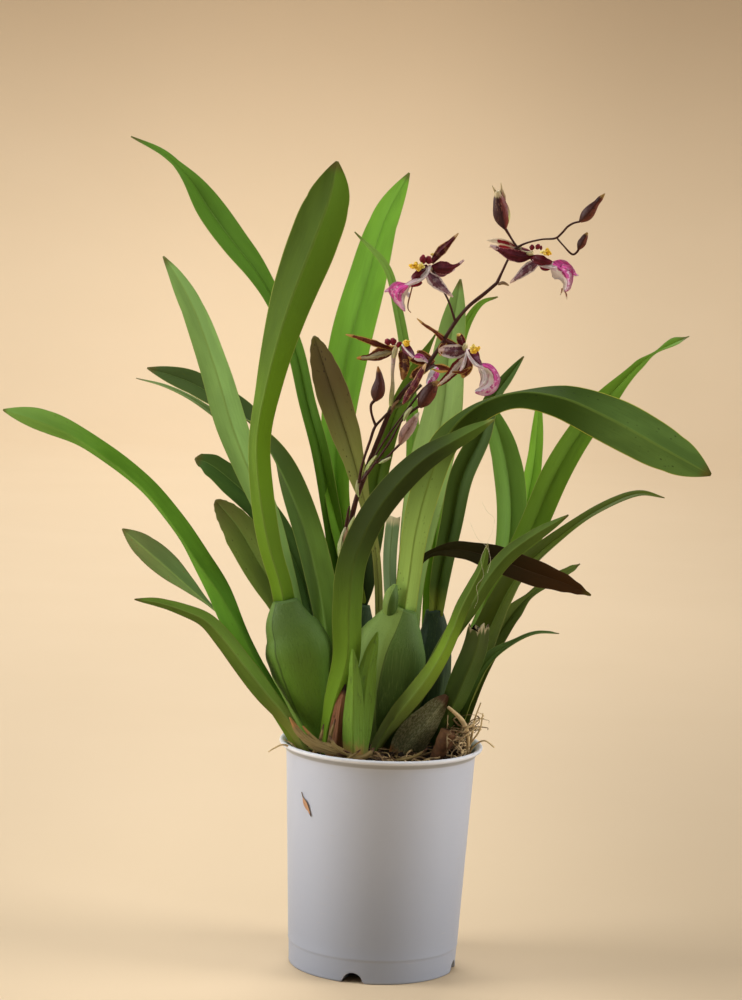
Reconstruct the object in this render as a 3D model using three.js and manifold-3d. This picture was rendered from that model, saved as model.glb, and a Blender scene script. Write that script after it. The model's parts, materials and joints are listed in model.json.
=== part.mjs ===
// Oncidium orchid growing in a plain round pot. Millimetres, +Z up, the pot stands on z = 0.
// The part is an assembly: pot, potting mix, bulbs, leaves, sheaths, roots, flower spike,
// flowers and buds are separate closed bodies with a narrow gap wherever two of them meet.
import * as THREE from "three";
import { mergeVertices } from "three/addons/utils/BufferGeometryUtils.js";
import Module from "manifold-3d";

const wasm = await Module();
wasm.setup();
const { Manifold, Mesh } = wasm;

// ---------- driving dimensions ----------
const GAP = 0.3;                 // clearance kept between neighbouring pieces
const POT_HEIGHT = 133.7;
const POT_LIP_RADIUS = 60;
const POT_WALL_TOP_RADIUS = 56;
const POT_BASE_RADIUS = 49.6;
const POT_WALL = 1.5;
const POT_SEGMENTS = 40;
const POT_FLOOR = 2;
const LIP_THICKNESS = 2;
const FOOT_STEP_HEIGHT = 14;
const DRAIN_NOTCHES = 4;
const DRAIN_NOTCH_RADIUS = 6.2;
const DRAIN_NOTCH_LENGTH = 18;   // reach of the cutter, half of it inside the base circle
const DRAIN_NOTCH_SIDES = 12;
const DRAIN_FIRST_ANGLE = -103;  // degrees round from +X
const MIX_LEVEL = 124;           // height of the potting mix surface
const MIX_RADIUS = 53.6;
const MIX_SEGMENTS = 28;
const MIX_CORNER = 9;            // the mix leaves the lower corner of the pot free to drain
const LEAF_THICKNESS = 1.3;
const LEAF_STATIONS = 14;
const STATION_BIAS = 0.45;        // 0 spaces the stations evenly
const TIP_ROUNDING = 1.7;         // 1 gives a straight taper to the tip, 2 a blunt one

const COLOURS = {
  pot: "#c9c8da",
  mix: "#3b2a1d",
  bulb: "#4c7038",
  leaf: "#4f7d24",
  darkLeaf: "#36501c",
  brownLeaf: "#4a2c1a",
  dry: "#8a5a35",
  root: "#c9ab7c",
  stem: "#4b2328",
  petal: "#6d2430",
  lip: "#c85aa0",
  bud: "#5c2a26",
};

const HEX = Object.fromEntries(
  Object.entries(COLOURS).map(([key, value]) => [key, new THREE.Color(value)]),
);

// ---------- small helpers ----------
const vec = (p) => new THREE.Vector3(p[0], p[1], p[2]);
const rad = THREE.MathUtils.degToRad;
const FRONT = new THREE.Vector3(0, -1, 0);

// A smooth curve through evenly spread values, read at u = 0..1. A list of [u, value] pairs
// is eased from pair to pair instead.
function along(values, u) {
  if (Array.isArray(values[0])) return eased(values, u);
  const last = values.length - 1;
  if (last === 0) return values[0];
  const k = Math.min(Math.floor(u * last), last - 1);
  const t = u * last - k;
  const a = values[k];
  const b = values[k + 1];
  const slopeA = k > 0 ? (b - values[k - 1]) / 2 : b - a;
  const slopeB = k + 2 <= last ? (values[k + 2] - a) / 2 : b - a;
  const t2 = t * t;
  const t3 = t2 * t;
  const h = (2 * t3 - 3 * t2 + 1) * a + (t3 - 2 * t2 + t) * slopeA;
  return h + (3 * t2 - 2 * t3) * b + (t3 - t2) * slopeB;
}

function eased(pairs, u) {
  let k = 0;
  while (k + 2 < pairs.length && u > pairs[k + 1][0]) k += 1;
  const [u0, a] = pairs[k];
  const [u1, b] = pairs[k + 1];
  const t = Math.min(Math.max((u - u0) / (u1 - u0), 0), 1);
  return a + (b - a) * t * t * (3 - 2 * t);
}

// Half width of a blade: the last stretch rounds off towards the tip.
function halfWidth(values, u) {
  if (Array.isArray(values[0])) return eased(values, u);
  const last = values.length - 1;
  const t = u * last - (last - 1);
  if (t <= 0) return along(values, u);
  return values[last] + (values[last - 1] - values[last]) * (1 - t ** TIP_ROUNDING);
}

// Station spacing that closes up towards the far end, where blades narrow quickly.
function spread(t) {
  return t * (1 + STATION_BIAS * (1 - t));
}

// Centre line through the spine points, reaching `extra` beyond both ends.
function stationsOf(spine, count, extra) {
  const points = spine.map(vec);
  const curve = new THREE.CatmullRomCurve3(points, false, "centripetal");
  curve.arcLengthDivisions = 120;
  const list = [];
  for (let i = 0; i < count; i += 1) {
    const u = spread(i / (count - 1));
    const point = curve.getPointAt(u);
    const tangent = curve.getTangentAt(u);
    if (i === 0) point.addScaledVector(tangent, -extra);
    if (i === count - 1) point.addScaledVector(tangent, extra);
    list.push({ u, point, tangent });
  }
  return list;
}

// Directions across the spine: `side` and `face`, turned about the spine by `turn` degrees.
// At turn 0 the face looks to the front.
function crossFrame(tangent, turn) {
  const face0 = FRONT.clone().addScaledVector(tangent, -FRONT.dot(tangent)).normalize();
  const side0 = new THREE.Vector3().crossVectors(tangent, face0);
  const c = Math.cos(rad(turn));
  const s = Math.sin(rad(turn));
  return {
    side: side0.clone().multiplyScalar(c).addScaledVector(face0, -s),
    face: face0.clone().multiplyScalar(c).addScaledVector(side0, s),
  };
}

function geometryOf(positions, index) {
  const geometry = new THREE.BufferGeometry();
  geometry.setAttribute("position", new THREE.Float32BufferAttribute(positions, 3));
  geometry.setIndex(index);
  return geometry;
}

// Joins equal loops of points into a closed skin; `cap` lists the triangles of one end loop.
// Each four-sided patch is split along its shorter diagonal, which keeps a twisted blade thick.
function skin(loops, cap) {
  const n = loops[0].length;
  const positions = loops.flat().flatMap((p) => [p.x, p.y, p.z]);
  const index = [];
  for (let k = 0; k + 1 < loops.length; k += 1) {
    for (let j = 0; j < n; j += 1) {
      const next = (j + 1) % n;
      const a = k * n + j;
      const b = k * n + next;
      const rising = loops[k][j].distanceTo(loops[k + 1][next]);
      const falling = loops[k][next].distanceTo(loops[k + 1][j]);
      if (rising < falling) index.push(a, b, b + n, a, b + n, a + n);
      else index.push(a, b, a + n, b, b + n, a + n);
    }
  }
  const end = (loops.length - 1) * n;
  for (const [a, b, c] of cap) {
    index.push(a, c, b);
    index.push(end + a, end + b, end + c);
  }
  return toSolid(geometryOf(positions, index));
}

function toSolid(geometry) {
  const mesh = new Mesh({
    numProp: 3,
    vertProperties: new Float32Array(geometry.attributes.position.array),
    triVerts: new Uint32Array(geometry.index.array),
  });
  mesh.merge();
  const solid = new Manifold(mesh);
  return solid.volume() < 0 ? toSolid(flipped(geometry)) : solid;
}

function flipped(geometry) {
  const index = [];
  const old = geometry.index.array;
  for (let i = 0; i < old.length; i += 3) index.push(old[i], old[i + 2], old[i + 1]);
  return geometryOf(Array.from(geometry.attributes.position.array), index);
}

// Shared corners joined and triangles without area dropped, so that the skin is closed.
function welded(geometry) {
  geometry.deleteAttribute("normal");
  geometry.deleteAttribute("uv");
  const merged = mergeVertices(geometry, 1e-4);
  const old = merged.index.array;
  const index = [];
  for (let i = 0; i < old.length; i += 3) {
    const [a, b, c] = old.slice(i, i + 3);
    if (a !== b && b !== c && c !== a) index.push(a, b, c);
  }
  return geometryOf(Array.from(merged.attributes.position.array), index);
}

function toGeometry(solid) {
  const mesh = solid.getMesh();
  const geometry = new THREE.BufferGeometry();
  geometry.setAttribute("position", new THREE.BufferAttribute(mesh.vertProperties, 3));
  geometry.setIndex(new THREE.BufferAttribute(mesh.triVerts, 1));
  return geometry;
}

// ---------- builders: each takes `grow`, the clearance added all round ----------

// A blade folded along its keel: leaf, sheath, sepal, petal or lip.
function blade(spec, grow) {
  const count = spec.stations ?? LEAF_STATIONS;
  const thick = spec.thick ?? LEAF_THICKNESS;
  const loops = stationsOf(spec.spine, count, grow).map(({ u, point, tangent }) => {
    const half = Math.max(halfWidth(spec.half, u), 0.3) + grow;
    const fold = rad(along(spec.fold, u));
    const { side, face } = crossFrame(tangent, along(spec.turn, u));
    const h = (thick / 2) * (u > 0.93 ? 0.75 : 1) + grow;
    const edge = h * 0.62;
    const crease = Math.min(h / Math.cos(fold), h + half * 0.45);
    const at = (a, b) => point.clone().addScaledVector(side, a).addScaledVector(face, b);
    const c = Math.cos(fold);
    const s = Math.sin(fold);
    return [
      at(0, -h * 1.25),
      at(half * c + edge * s, half * s - edge * c),
      at(half * c - edge * s, half * s + edge * c),
      at(0, crease),
      at(-half * c + edge * s, half * s + edge * c),
      at(-half * c - edge * s, half * s - edge * c),
    ];
  });
  return skin(loops, [[0, 1, 2], [0, 2, 3], [0, 3, 4], [0, 4, 5]]);
}

// A rounded body along a spine: bulb, stem, bud, root. `flat` squeezes it front to back.
function rod(spec, grow) {
  const count = spec.stations ?? 12;
  const sides = spec.sides ?? 8;
  const loops = stationsOf(spec.spine, count, grow).map(({ u, point, tangent }) => {
    const radius = Math.max(along(spec.radius, u), 0.25);
    const { side, face } = crossFrame(tangent, 0);
    const loop = [];
    for (let j = 0; j < sides; j += 1) {
      const angle = (2 * Math.PI * j) / sides;
      const a = (radius + grow) * Math.cos(angle);
      const b = (radius * (spec.flat ?? 1) + grow) * Math.sin(angle);
      loop.push(point.clone().addScaledVector(side, a).addScaledVector(face, b));
    }
    return loop;
  });
  const cap = [];
  for (let j = 1; j + 1 < sides; j += 1) cap.push([0, j, j + 1]);
  return skin(loops, cap);
}

// A piece made of several strokes that grew together.
function cluster(spec, grow) {
  return Manifold.union(spec.parts.map((part) => shape(part, grow)));
}

function shape(spec, grow = 0) {
  if (spec.parts) return cluster(spec, grow);
  return spec.radius ? rod(spec, grow) : blade(spec, grow);
}

// ---------- pot ----------
// A turned solid about the vertical axis; its profile starts and ends on the axis.
function revolve(profile) {
  const points = profile.map(([r, z]) => new THREE.Vector2(r, z));
  const geometry = new THREE.LatheGeometry(points, POT_SEGMENTS);
  geometry.rotateX(Math.PI / 2);
  return toSolid(welded(geometry));
}

// Wall, floor and lip of the pot; `grow` adds clearance inside and above the lip.
function potWall(grow) {
  const H = POT_HEIGHT;
  const slope = (POT_WALL_TOP_RADIUS - POT_BASE_RADIUS) / H;
  const wallAt = (z) => POT_BASE_RADIUS + slope * z;
  const outside = revolve([
    [0, 0],
    [POT_BASE_RADIUS - 1, 0],
    [POT_BASE_RADIUS, 1],
    [wallAt(FOOT_STEP_HEIGHT) - 0.2, FOOT_STEP_HEIGHT],
    [wallAt(FOOT_STEP_HEIGHT) + 0.3, FOOT_STEP_HEIGHT + 0.5],
    [wallAt(H - 6), H - 6],
    [POT_LIP_RADIUS - 1.2, H - 4.6],
    [POT_LIP_RADIUS - 0.4, H - LIP_THICKNESS],
    [POT_LIP_RADIUS, H - 1],
    [POT_LIP_RADIUS - 0.6, H + grow],
    [0, H + grow],
  ]);
  const inside = revolve([
    [0, POT_FLOOR + grow],
    [POT_BASE_RADIUS - POT_WALL - grow, POT_FLOOR + grow],
    [wallAt(H - 6) - POT_WALL - grow, H - 6],
    [POT_WALL_TOP_RADIUS - POT_WALL + 1.2 - grow, H - 3],
    [POT_LIP_RADIUS - 2.6 - grow, H + 1],
    [0, H + 1],
  ]);
  return outside.subtract(inside);
}

function potSolid() {
  let pot = potWall(0);
  for (let i = 0; i < DRAIN_NOTCHES; i += 1) {
    const notch = new THREE.CylinderGeometry(
      DRAIN_NOTCH_RADIUS, DRAIN_NOTCH_RADIUS, DRAIN_NOTCH_LENGTH, DRAIN_NOTCH_SIDES,
    );
    notch.translate(0, -POT_BASE_RADIUS, 0);
    notch.rotateZ(rad(90 + DRAIN_FIRST_ANGLE + (360 * i) / DRAIN_NOTCHES));
    pot = pot.subtract(toSolid(welded(notch)));
  }
  return pot;
}

function mixSolid() {
  const slope = (POT_WALL_TOP_RADIUS - POT_BASE_RADIUS) / POT_HEIGHT;
  const radiusAt = (z) => POT_BASE_RADIUS + slope * z - POT_WALL - 2 * GAP;
  const lumps = (x, y) => Math.sin(x / 7 + 1.3) * Math.cos(y / 9) + 0.8 * Math.sin(y / 5 + x / 11);
  const rings = [];
  const ring = (r, z, bumpy) => {
    const loop = [];
    for (let j = 0; j < MIX_SEGMENTS; j += 1) {
      const a = (2 * Math.PI * j) / MIX_SEGMENTS;
      const x = r * Math.cos(a);
      const y = r * Math.sin(a);
      loop.push(new THREE.Vector3(x, y, z + (bumpy ? lumps(x, y) : 0)));
    }
    rings.push(loop);
  };
  ring(radiusAt(POT_FLOOR) - MIX_CORNER, POT_FLOOR + GAP, false);
  ring(radiusAt(MIX_CORNER), MIX_CORNER, false);
  ring(radiusAt(MIX_LEVEL - 4), MIX_LEVEL - 4, false);
  ring(MIX_RADIUS, MIX_LEVEL - 1, true);
  for (const r of [44, 34, 24, 14, 5]) ring(r, MIX_LEVEL + (r < 40 ? 2 : 1), true);
  const cap = [];
  for (let j = 1; j + 1 < MIX_SEGMENTS; j += 1) cap.push([0, j, j + 1]);
  return skin(rings, cap);
}

// ---------- the plant, front pieces first ----------
const SEAT = 119;                // depth that stalks reach down into the mix

const BULBS = {
  bulb_left: {
    colour: "bulb",
    spine: [
      [-37, -7, SEAT], [-38, -7, 135], [-41, -6, 150], [-45, -6, 164], [-48, -6, 175], [-50, -6, 184],
      [-53.5, -6, 195], [-57, -6, 203], [-60, -6, 216],
    ],
    radius: [3.5, 4.8, 7.6, 12, 14.4, 16, 17.6, 18.8, 16.2, 12.5, 7.2],
    flat: 0.58,
    sides: 16,
    stations: 12,
  },
  bulb_centre: {
    colour: "bulb",
    spine: [
      [3, -4, SEAT], [2.5, -4, 140], [2, -4, 160], [2, -4, 178], [3, -4, 191], [6, -4, 203], [9, -4, 214],
    ],
    radius: [4, 7, 11, 14.5, 17.5, 19.4, 20.4, 20.6, 18.8, 14, 8.3],
    flat: 0.56,
    sides: 16,
    stations: 12,
  },
  bulb_right: {
    colour: "bulb",
    spine: [[25, 16, 119], [26, 16, 145], [28, 15, 175], [29, 15, 198], [28, 14, 211]],
    radius: [8, 11.5, 12, 10.5, 5],
    flat: 0.7,
    sides: 14,
    stations: 10,
  },
  bulb_back: {
    colour: "bulb",
    spine: [[-14, 32, 119], [-15, 32, 145], [-16, 31, 175], [-16, 30, 197], [-15, 30, 210]],
    radius: [8, 13, 14, 12, 5],
    flat: 0.62,
    sides: 14,
    stations: 10,
  },
};

const SHOOTS = {
  new_shoot_sheath: {
    colour: "leaf",
    spine: [[-16, -32, SEAT], [-16, -32, 132], [-17, -32, 149], [-17.5, -32, 170], [-19, -32, 193]],
    half: [6, 7.6, 7.4, 6.2, 3.6, 0.5],
    turn: [0, 0, -10, -20],
    fold: [-40, -36, -32, -24],
    thick: 1.4,
    stations: 9,
  },
  new_shoot_leaf: {
    colour: "leaf",
    spine: [[-13, -27, SEAT], [-12, -27, 140], [-11, -27, 163], [-9, -27, 184], [-5, -27, 203]],
    half: [4, 5.5, 6.8, 6.8, 4.6, 0.5],
    turn: [0, 0, 20],
    fold: [-30, -25, -22],
    thick: 1.4,
    stations: 9,
  },
  dry_sheath_front: {
    colour: "dry",
    spine: [[-27, -25, SEAT], [-26, -25, 140], [-25, -25, 155], [-22.5, -24, 171]],
    half: [5, 5.5, 4, 0.5],
    turn: [0],
    fold: [-20],
    thick: 1,
    stations: 7,
  },
  papery_sheath: {
    colour: "dry",
    spine: [[9, -20, 123], [17, -20, 138], [27, -20, 152], [37, -19, 166]],
    half: [6, 10, 10, 7, 1.5],
    turn: [0, 10],
    fold: [-18],
    thick: 1,
    stations: 8,
  },
};

const LEAVES = {
  leaf_left_long_arch: {
    spine: [
      [-39, -21, SEAT], [-48, -20, 136], [-59, -18, 155], [-72, -14, 175], [-86, -10, 199],
      [-98, -6, 218], [-112, -3, 236], [-127, 2, 256], [-143, 7, 274], [-158, 12, 286],
      [-174, 17, 296], [-191, 23, 305], [-211, 28, 312], [-233, 34, 317],
    ],
    half: [5, 6.5, 8, 8.6, 8.4, 8.6, 9, 9, 8.6, 8, 7.4, 0.6],
    turn: [20, 30, 30, 10, -25, -38, -30, -10],
    fold: [-46, -40, -36, -34, -32, -28, -20, -10],
    stations: 20,
  },
  leaf_front_centre: {
    spine: [
      [-33, -20, SEAT], [-32, -21, 140], [-29, -23, 157], [-22, -28, 186], [-22, -34, 216],
      [-20, -42, 246], [-8, -53, 277], [14, -66, 306], [37, -77, 323], [54, -86, 334],
    ],
    half: [4, 5.5, 8.5, 9.6, 10, 9.6, 9, 8.5, 7.5, 5, 0.5],
    turn: [-10, 0, 10, 15, 10, 0, -10, -20],
    fold: [-40, -36, -30, -28, -25, -22, -20, -20],
  },
  leaf_front_tall: {
    spine: [
      [-60, -6, 213], [-63, -9, 226], [-70, -14, 248], [-76, -20, 277], [-79, -28, 311],
      [-74, -35, 346], [-64, -43, 387], [-50, -50, 428], [-42, -54, 453], [-39, -57, 472],
    ],
    half: [7.6, 7.6, 8.4, 8.4, 8.2, 8.8, 10.2, 12.2, 14.2, 15.2, 13, 0.8],
    turn: [0, -5, -15, -20, -10, 0, 5, 10],
    fold: [-34, -34, -36, -34, -30, -26, -22, -18],
    stations: 17,
  },
  leaf_right_arch: {
    spine: [
      [10, -4, 211], [12, -6, 232], [15, -11, 262], [22, -17, 293], [31, -23, 316], [46, -28, 331],
      [68, -34, 340], [93, -40, 340], [121, -49, 331], [149, -60, 319], [177, -73, 307],
    ],
    half: [8.5, 8, 8.5, 9.5, 9, 7, 7, 9.5, 13.2, 14, 11.4, 0.8],
    turn: [0, 0, 5, 0, -40, -60, -30, -12, -5, 0],
    fold: [-36, -30, -24, -28, -36, -30, -20, -14, -12, -12],
    stations: 18,
  },
  leaf_right_front: {
    spine: [
      [-7, -15, SEAT], [-1, -18, 137], [8, -23, 153], [17, -27, 166], [26, -30, 180], [34, -34, 194],
      [40, -38, 209], [45, -43, 222], [50, -47, 235], [53, -52, 247], [55, -57, 261],
    ],
    half: [3, 5, 7, 8, 8.4, 8, 6.5, 4, 0.5],
    turn: [0, -8, -12],
    fold: [-44, -40, -34, -24],
  },
  leaf_right_front_long: {
    spine: [
      [10, -11, SEAT], [18, -13, 147], [32, -17, 175], [44, -21, 201], [54, -23, 220], [60, -26, 237],
      [68, -29, 251], [80, -32, 262], [101, -38, 277],
    ],
    half: [4, 6, 7, 6.5, 6, 5.5, 4, 0.5],
    turn: [10, 0, -15, -30],
    fold: [-46, -36, -26, -20],
  },
  leaf_cut_right: {
    spine: [
      [26, -7, SEAT], [31, -8, 140], [38, -9, 160], [45, -11, 182], [50, -13, 203], [53, -15, 221],
    ],
    half: [4, 7, 9, 9.6, 9],
    turn: [0, 10],
    fold: [-40, -30],
    stations: 9,
  },
  leaf_brown: {
    colour: "brownLeaf",
    spine: [
      [12, 13, SEAT], [11, 13, 160], [11, 12, 200], [13, 8, 229], [22, 0, 245], [38, -5, 250],
      [59, -9, 247], [82, -12, 240], [103, -14, 234], [118, -16, 228],
    ],
    half: [[0, 2.5], [0.5, 2], [0.57, 2.2], [0.66, 5.4], [0.75, 8], [0.85, 8.4], [0.92, 7.2], [1, 0.5]],
    turn: [0, 0, -10, -10, 0],
    fold: [30, 30, 20, 14, 12],
    stations: 18,
  },
  leaf_right_upright: {
    colour: "darkLeaf",
    spine: [
      [29, 14, 208], [31, 15, 232], [36, 15, 262], [41, 15, 291], [52, 16, 317], [57, 16, 337],
      [66, 17, 351], [74, 18, 363],
    ],
    half: [5, 7, 7.5, 8, 8, 6.5, 4.5, 0.5],
    turn: [0, -10, -30],
    fold: [36, 30, 24],
  },
  leaf_left_low: {
    spine: [
      [-38, -22, SEAT], [-53, -23, 146], [-68, -26, 164], [-82, -29, 181], [-93, -33, 195],
      [-104, -38, 207], [-116, -43, 213], [-131, -49, 218], [-144, -54, 220],
    ],
    half: [3, 3.6, 6, 7.5, 7, 6, 4.5, 3, 0.4],
    turn: [20, 20, 10, 0, 0],
    fold: [-44, -38, -34, -24, -16],
  },
  leaf_left_brown: {
    colour: "brownLeaf",
    spine: [
      [-48, 6, SEAT], [-56, 9, 142], [-74, 14, 174], [-91, 20, 195], [-105, 25, 206], [-132, 36, 226],
      [-161, 48, 247],
    ],
    half: [3, 3, 3, 2.6, 2, 1.5, 1.4, 5, 8.4, 7.6, 0.5],
    turn: [150, 160, 175],
    fold: [50, 30, 14],
    stations: 16,
  },
  leaf_left_upright: {
    spine: [
      [-44, 10, SEAT], [-47, 12, 150], [-52, 13, 190], [-61, 14, 226], [-72, 15, 261],
      [-85, 17, 289], [-96, 19, 315], [-107, 23, 347], [-121, 28, 381], [-132, 32, 400], [-141, 36, 412],
    ],
    half: [4, 6, 6.5, 7, 7.5, 8.6, 10, 9, 7, 0.6],
    turn: [160, 170, 180, 190, 200],
    fold: [40, 34, 26, 20, 16],
  },
  leaf_dark_long: {
    colour: "darkLeaf",
    spine: [
      [-28, 1, SEAT], [-30, 4, 150], [-34, 9, 189], [-41, 17, 223], [-53, 28, 260], [-70, 40, 293],
      [-85, 48, 313], [-103, 55, 325], [-122, 62, 335], [-138, 66, 340], [-151, 70, 343],
    ],
    half: [5, 9, 10.5, 10.5, 10.5, 10.4, 10, 9.6, 8, 0.5],
    turn: [150, 150, 165, 150, 40, 10],
    fold: [46, 36, 30, 30, 26, 20],
    stations: 18,
  },
  leaf_brown_green: {
    colour: "darkLeaf",
    spine: [
      [-6, 12, SEAT], [-5, 14, 150], [-4, 17, 194], [-8, 20, 244], [-17, 23, 277], [-27, 26, 308],
      [-39, 29, 340], [-50, 32, 369],
    ],
    half: [4, 4, 4, 5, 8, 11, 10.4, 0.8],
    turn: [0, 0, 0],
    fold: [44, 26, 14],
  },
  leaf_dark_round: {
    colour: "darkLeaf",
    spine: [
      [-34, 15, SEAT], [-37, 18, 152], [-42, 24, 194], [-54, 32, 230], [-73, 40, 259], [-92, 45, 276],
      [-111, 49, 289], [-119, 51, 291],
    ],
    half: [4, 5, 6, 6.5, 8, 8.5, 7.5, 2.5],
    turn: [0, 0, 10],
    fold: [36, 20, 12],
  },
  leaf_olive: {
    colour: "darkLeaf",
    spine: [
      [-47, 20, SEAT], [-49, 22, 155], [-53, 25, 189], [-63, 28, 212], [-77, 31, 232], [-91, 35, 253],
      [-105, 39, 268],
    ],
    half: [3, 4, 5, 7.5, 9.5, 9.5, 6, 0.8],
    turn: [0, 0, 0],
    fold: [36, 26, 16],
  },
  leaf_light_thin: {
    spine: [
      [-44, 28, SEAT], [-50, 30, 154], [-57, 37, 198], [-70, 46, 240], [-86, 56, 279],
      [-100, 65, 308], [-119, 73, 322], [-140, 81, 331], [-159, 89, 335],
    ],
    half: [3, 4, 4.5, 5, 5, 5, 3.6, 2.4, 0.5],
    turn: [0, 0, 40, 70],
    fold: [40, 26, 20],
  },
  leaf_back_left: {
    spine: [
      [-32, 26, SEAT], [-31, 29, 160], [-30, 35, 209], [-32, 40, 244], [-37, 45, 270], [-44, 50, 300],
      [-53, 57, 328], [-62, 64, 359], [-75, 73, 385], [-88, 80, 404], [-103, 88, 421], [-118, 97, 439],
      [-133, 105, 459], [-148, 113, 472], [-170, 123, 482],
    ],
    half: [5, 6, 6.5, 6.5, 6.4, 6, 5.6, 5.6, 5.8, 9, 9.4, 2.6, 0.5],
    turn: [0, 0, 0, 20, 30],
    fold: [36, 30, 26, 20, 16],
    stations: 17,
  },
  leaf_behind_spike: {
    colour: "darkLeaf",
    spine: [
      [-18, 31, 203], [-19, 32, 215], [-15, 33, 252], [-9, 33, 291], [0, 33, 324], [10, 34, 349],
      [23, 35, 375],
    ],
    half: [3.5, 4.5, 5, 5.5, 5.5, 4, 0.5],
    turn: [0],
    fold: [30, 18],
  },
  cut_leaf_stump: {
    colour: "darkLeaf",
    spine: [[3, 0, 204], [1.5, 4, 222], [0.5, 8, 243], [1.5, 10, 265]],
    half: [3.5, 4.8, 5.2, 5.2],
    turn: [0],
    fold: [-44, -38],
    stations: 8,
  },
  leaf_behind_flowers: {
    spine: [
      [14, 30, SEAT], [14, 32, 160], [13, 36, 204], [16, 39, 249], [22, 43, 291], [29, 48, 328],
      [31, 54, 363], [34, 59, 388], [36, 63, 405],
    ],
    half: [5, 7, 8, 9, 12, 13.5, 11.5, 8.5, 0.6],
    turn: [0, 0, -10],
    fold: [36, 22, 12],
  },
  leaf_right_blade: {
    spine: [
      [36, 26, SEAT], [41, 28, 150], [53, 31, 189], [68, 37, 230], [72, 44, 263], [68, 52, 297],
      [55, 63, 335],
    ],
    half: [4, 6, 7.5, 8.5, 9.8, 9, 0.6],
    turn: [0, 10, 10],
    fold: [36, 24, 16],
  },
  leaf_right_low: {
    colour: "darkLeaf",
    spine: [
      [36, 2, SEAT], [40, 3, 142], [51, 4, 174], [62, 7, 204], [77, 9, 235], [101, 10, 259],
      [123, 13, 275], [146, 16, 285], [161, 18, 283],
    ],
    half: [4, 7, 9, 9.5, 7, 4, 2.5, 3, 0.4],
    turn: [-20, -20, -50, -80, -60],
    fold: [30, 24, 24, 20, 20],
  },
  leaf_right_far: {
    spine: [
      [38, 14, SEAT], [43, 15, 145], [55, 17, 186], [70, 22, 229], [84, 26, 261], [98, 31, 296],
      [114, 37, 323], [134, 43, 348], [153, 48, 366], [174, 52, 377],
    ],
    half: [
      [0, 4], [0.2, 6.5], [0.4, 8.6], [0.6, 9], [0.75, 8], [0.88, 3.4], [0.925, 1], [0.97, 4],
      [1, 0.5],
    ],
    turn: [0, 0, 0, 0, -10, -60],
    fold: [36, 26, 20, 18, 20, 20],
    stations: 18,
  },
  leaf_right_thin_upright: {
    spine: [
      [46, 23, SEAT], [49, 26, 149], [58, 34, 193], [72, 44, 235], [81, 56, 268], [86, 67, 299],
      [88, 83, 337],
    ],
    half: [3, 4, 5, 7, 6.5, 4.5, 0.6],
    turn: [0],
    fold: [34, 22, 16],
  },
  leaf_right_hidden: {
    colour: "darkLeaf",
    spine: [[45, 8, SEAT], [47, 9, 142], [56, 14, 173], [69, 18, 201], [86, 23, 222], [114, 30, 240]],
    half: [3, 5, 6, 6.5, 5, 0.5],
    turn: [0, -20],
    fold: [32, 20],
  },
  leaf_right_small: {
    colour: "darkLeaf",
    spine: [
      [38, -5, SEAT], [43, -6, 142], [50, -8, 165], [61, -12, 187], [74, -16, 198], [87, -20, 205],
      [100, -24, 206],
    ],
    half: [3, 5, 6, 5, 3.6, 2, 0.4],
    turn: [-20, -40, -70],
    fold: [36, 26, 20],
    stations: 12,
  },
  leaf_back_thin: {
    spine: [
      [6, 38, SEAT], [6, 41, 169], [9, 44, 219], [12, 49, 272], [11, 55, 316], [6, 61, 353],
      [-1, 69, 385], [-9, 77, 410], [-29, 87, 430],
    ],
    half: [3, 3.6, 4, 4.5, 4.5, 4, 3.5, 2.6, 0.4],
    turn: [0, 0, 20],
    fold: [30, 20, 16],
  },
  leaf_back_broad: {
    spine: [
      [-15, 31, 207], [-25, 37, 239], [-33, 49, 277], [-34, 63, 317], [-29, 80, 362],
      [-21, 97, 398], [-11, 118, 438], [3, 135, 467],
    ],
    half: [5, 7, 9, 11.5, 13.4, 12.4, 9, 0.6],
    turn: [0],
    fold: [34, 22, 14],
  },
  leaf_twisted_tip: {
    spine: [
      [26, 40, SEAT], [26, 44, 169], [27, 54, 223], [31, 77, 300], [36, 95, 348], [42, 106, 375],
      [51, 112, 389], [61, 117, 393],
    ],
    half: [3, 4, 5, 6, 6, 3.6, 1.8, 0.4],
    turn: [0, -10, -60],
    fold: [30, 20, 16],
  },
};

// Flower spike: one stem with its side branches and flower stalks.
function stalk(spine, radius, stations = 5) {
  return { spine, radius, stations, sides: 6 };
}

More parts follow.
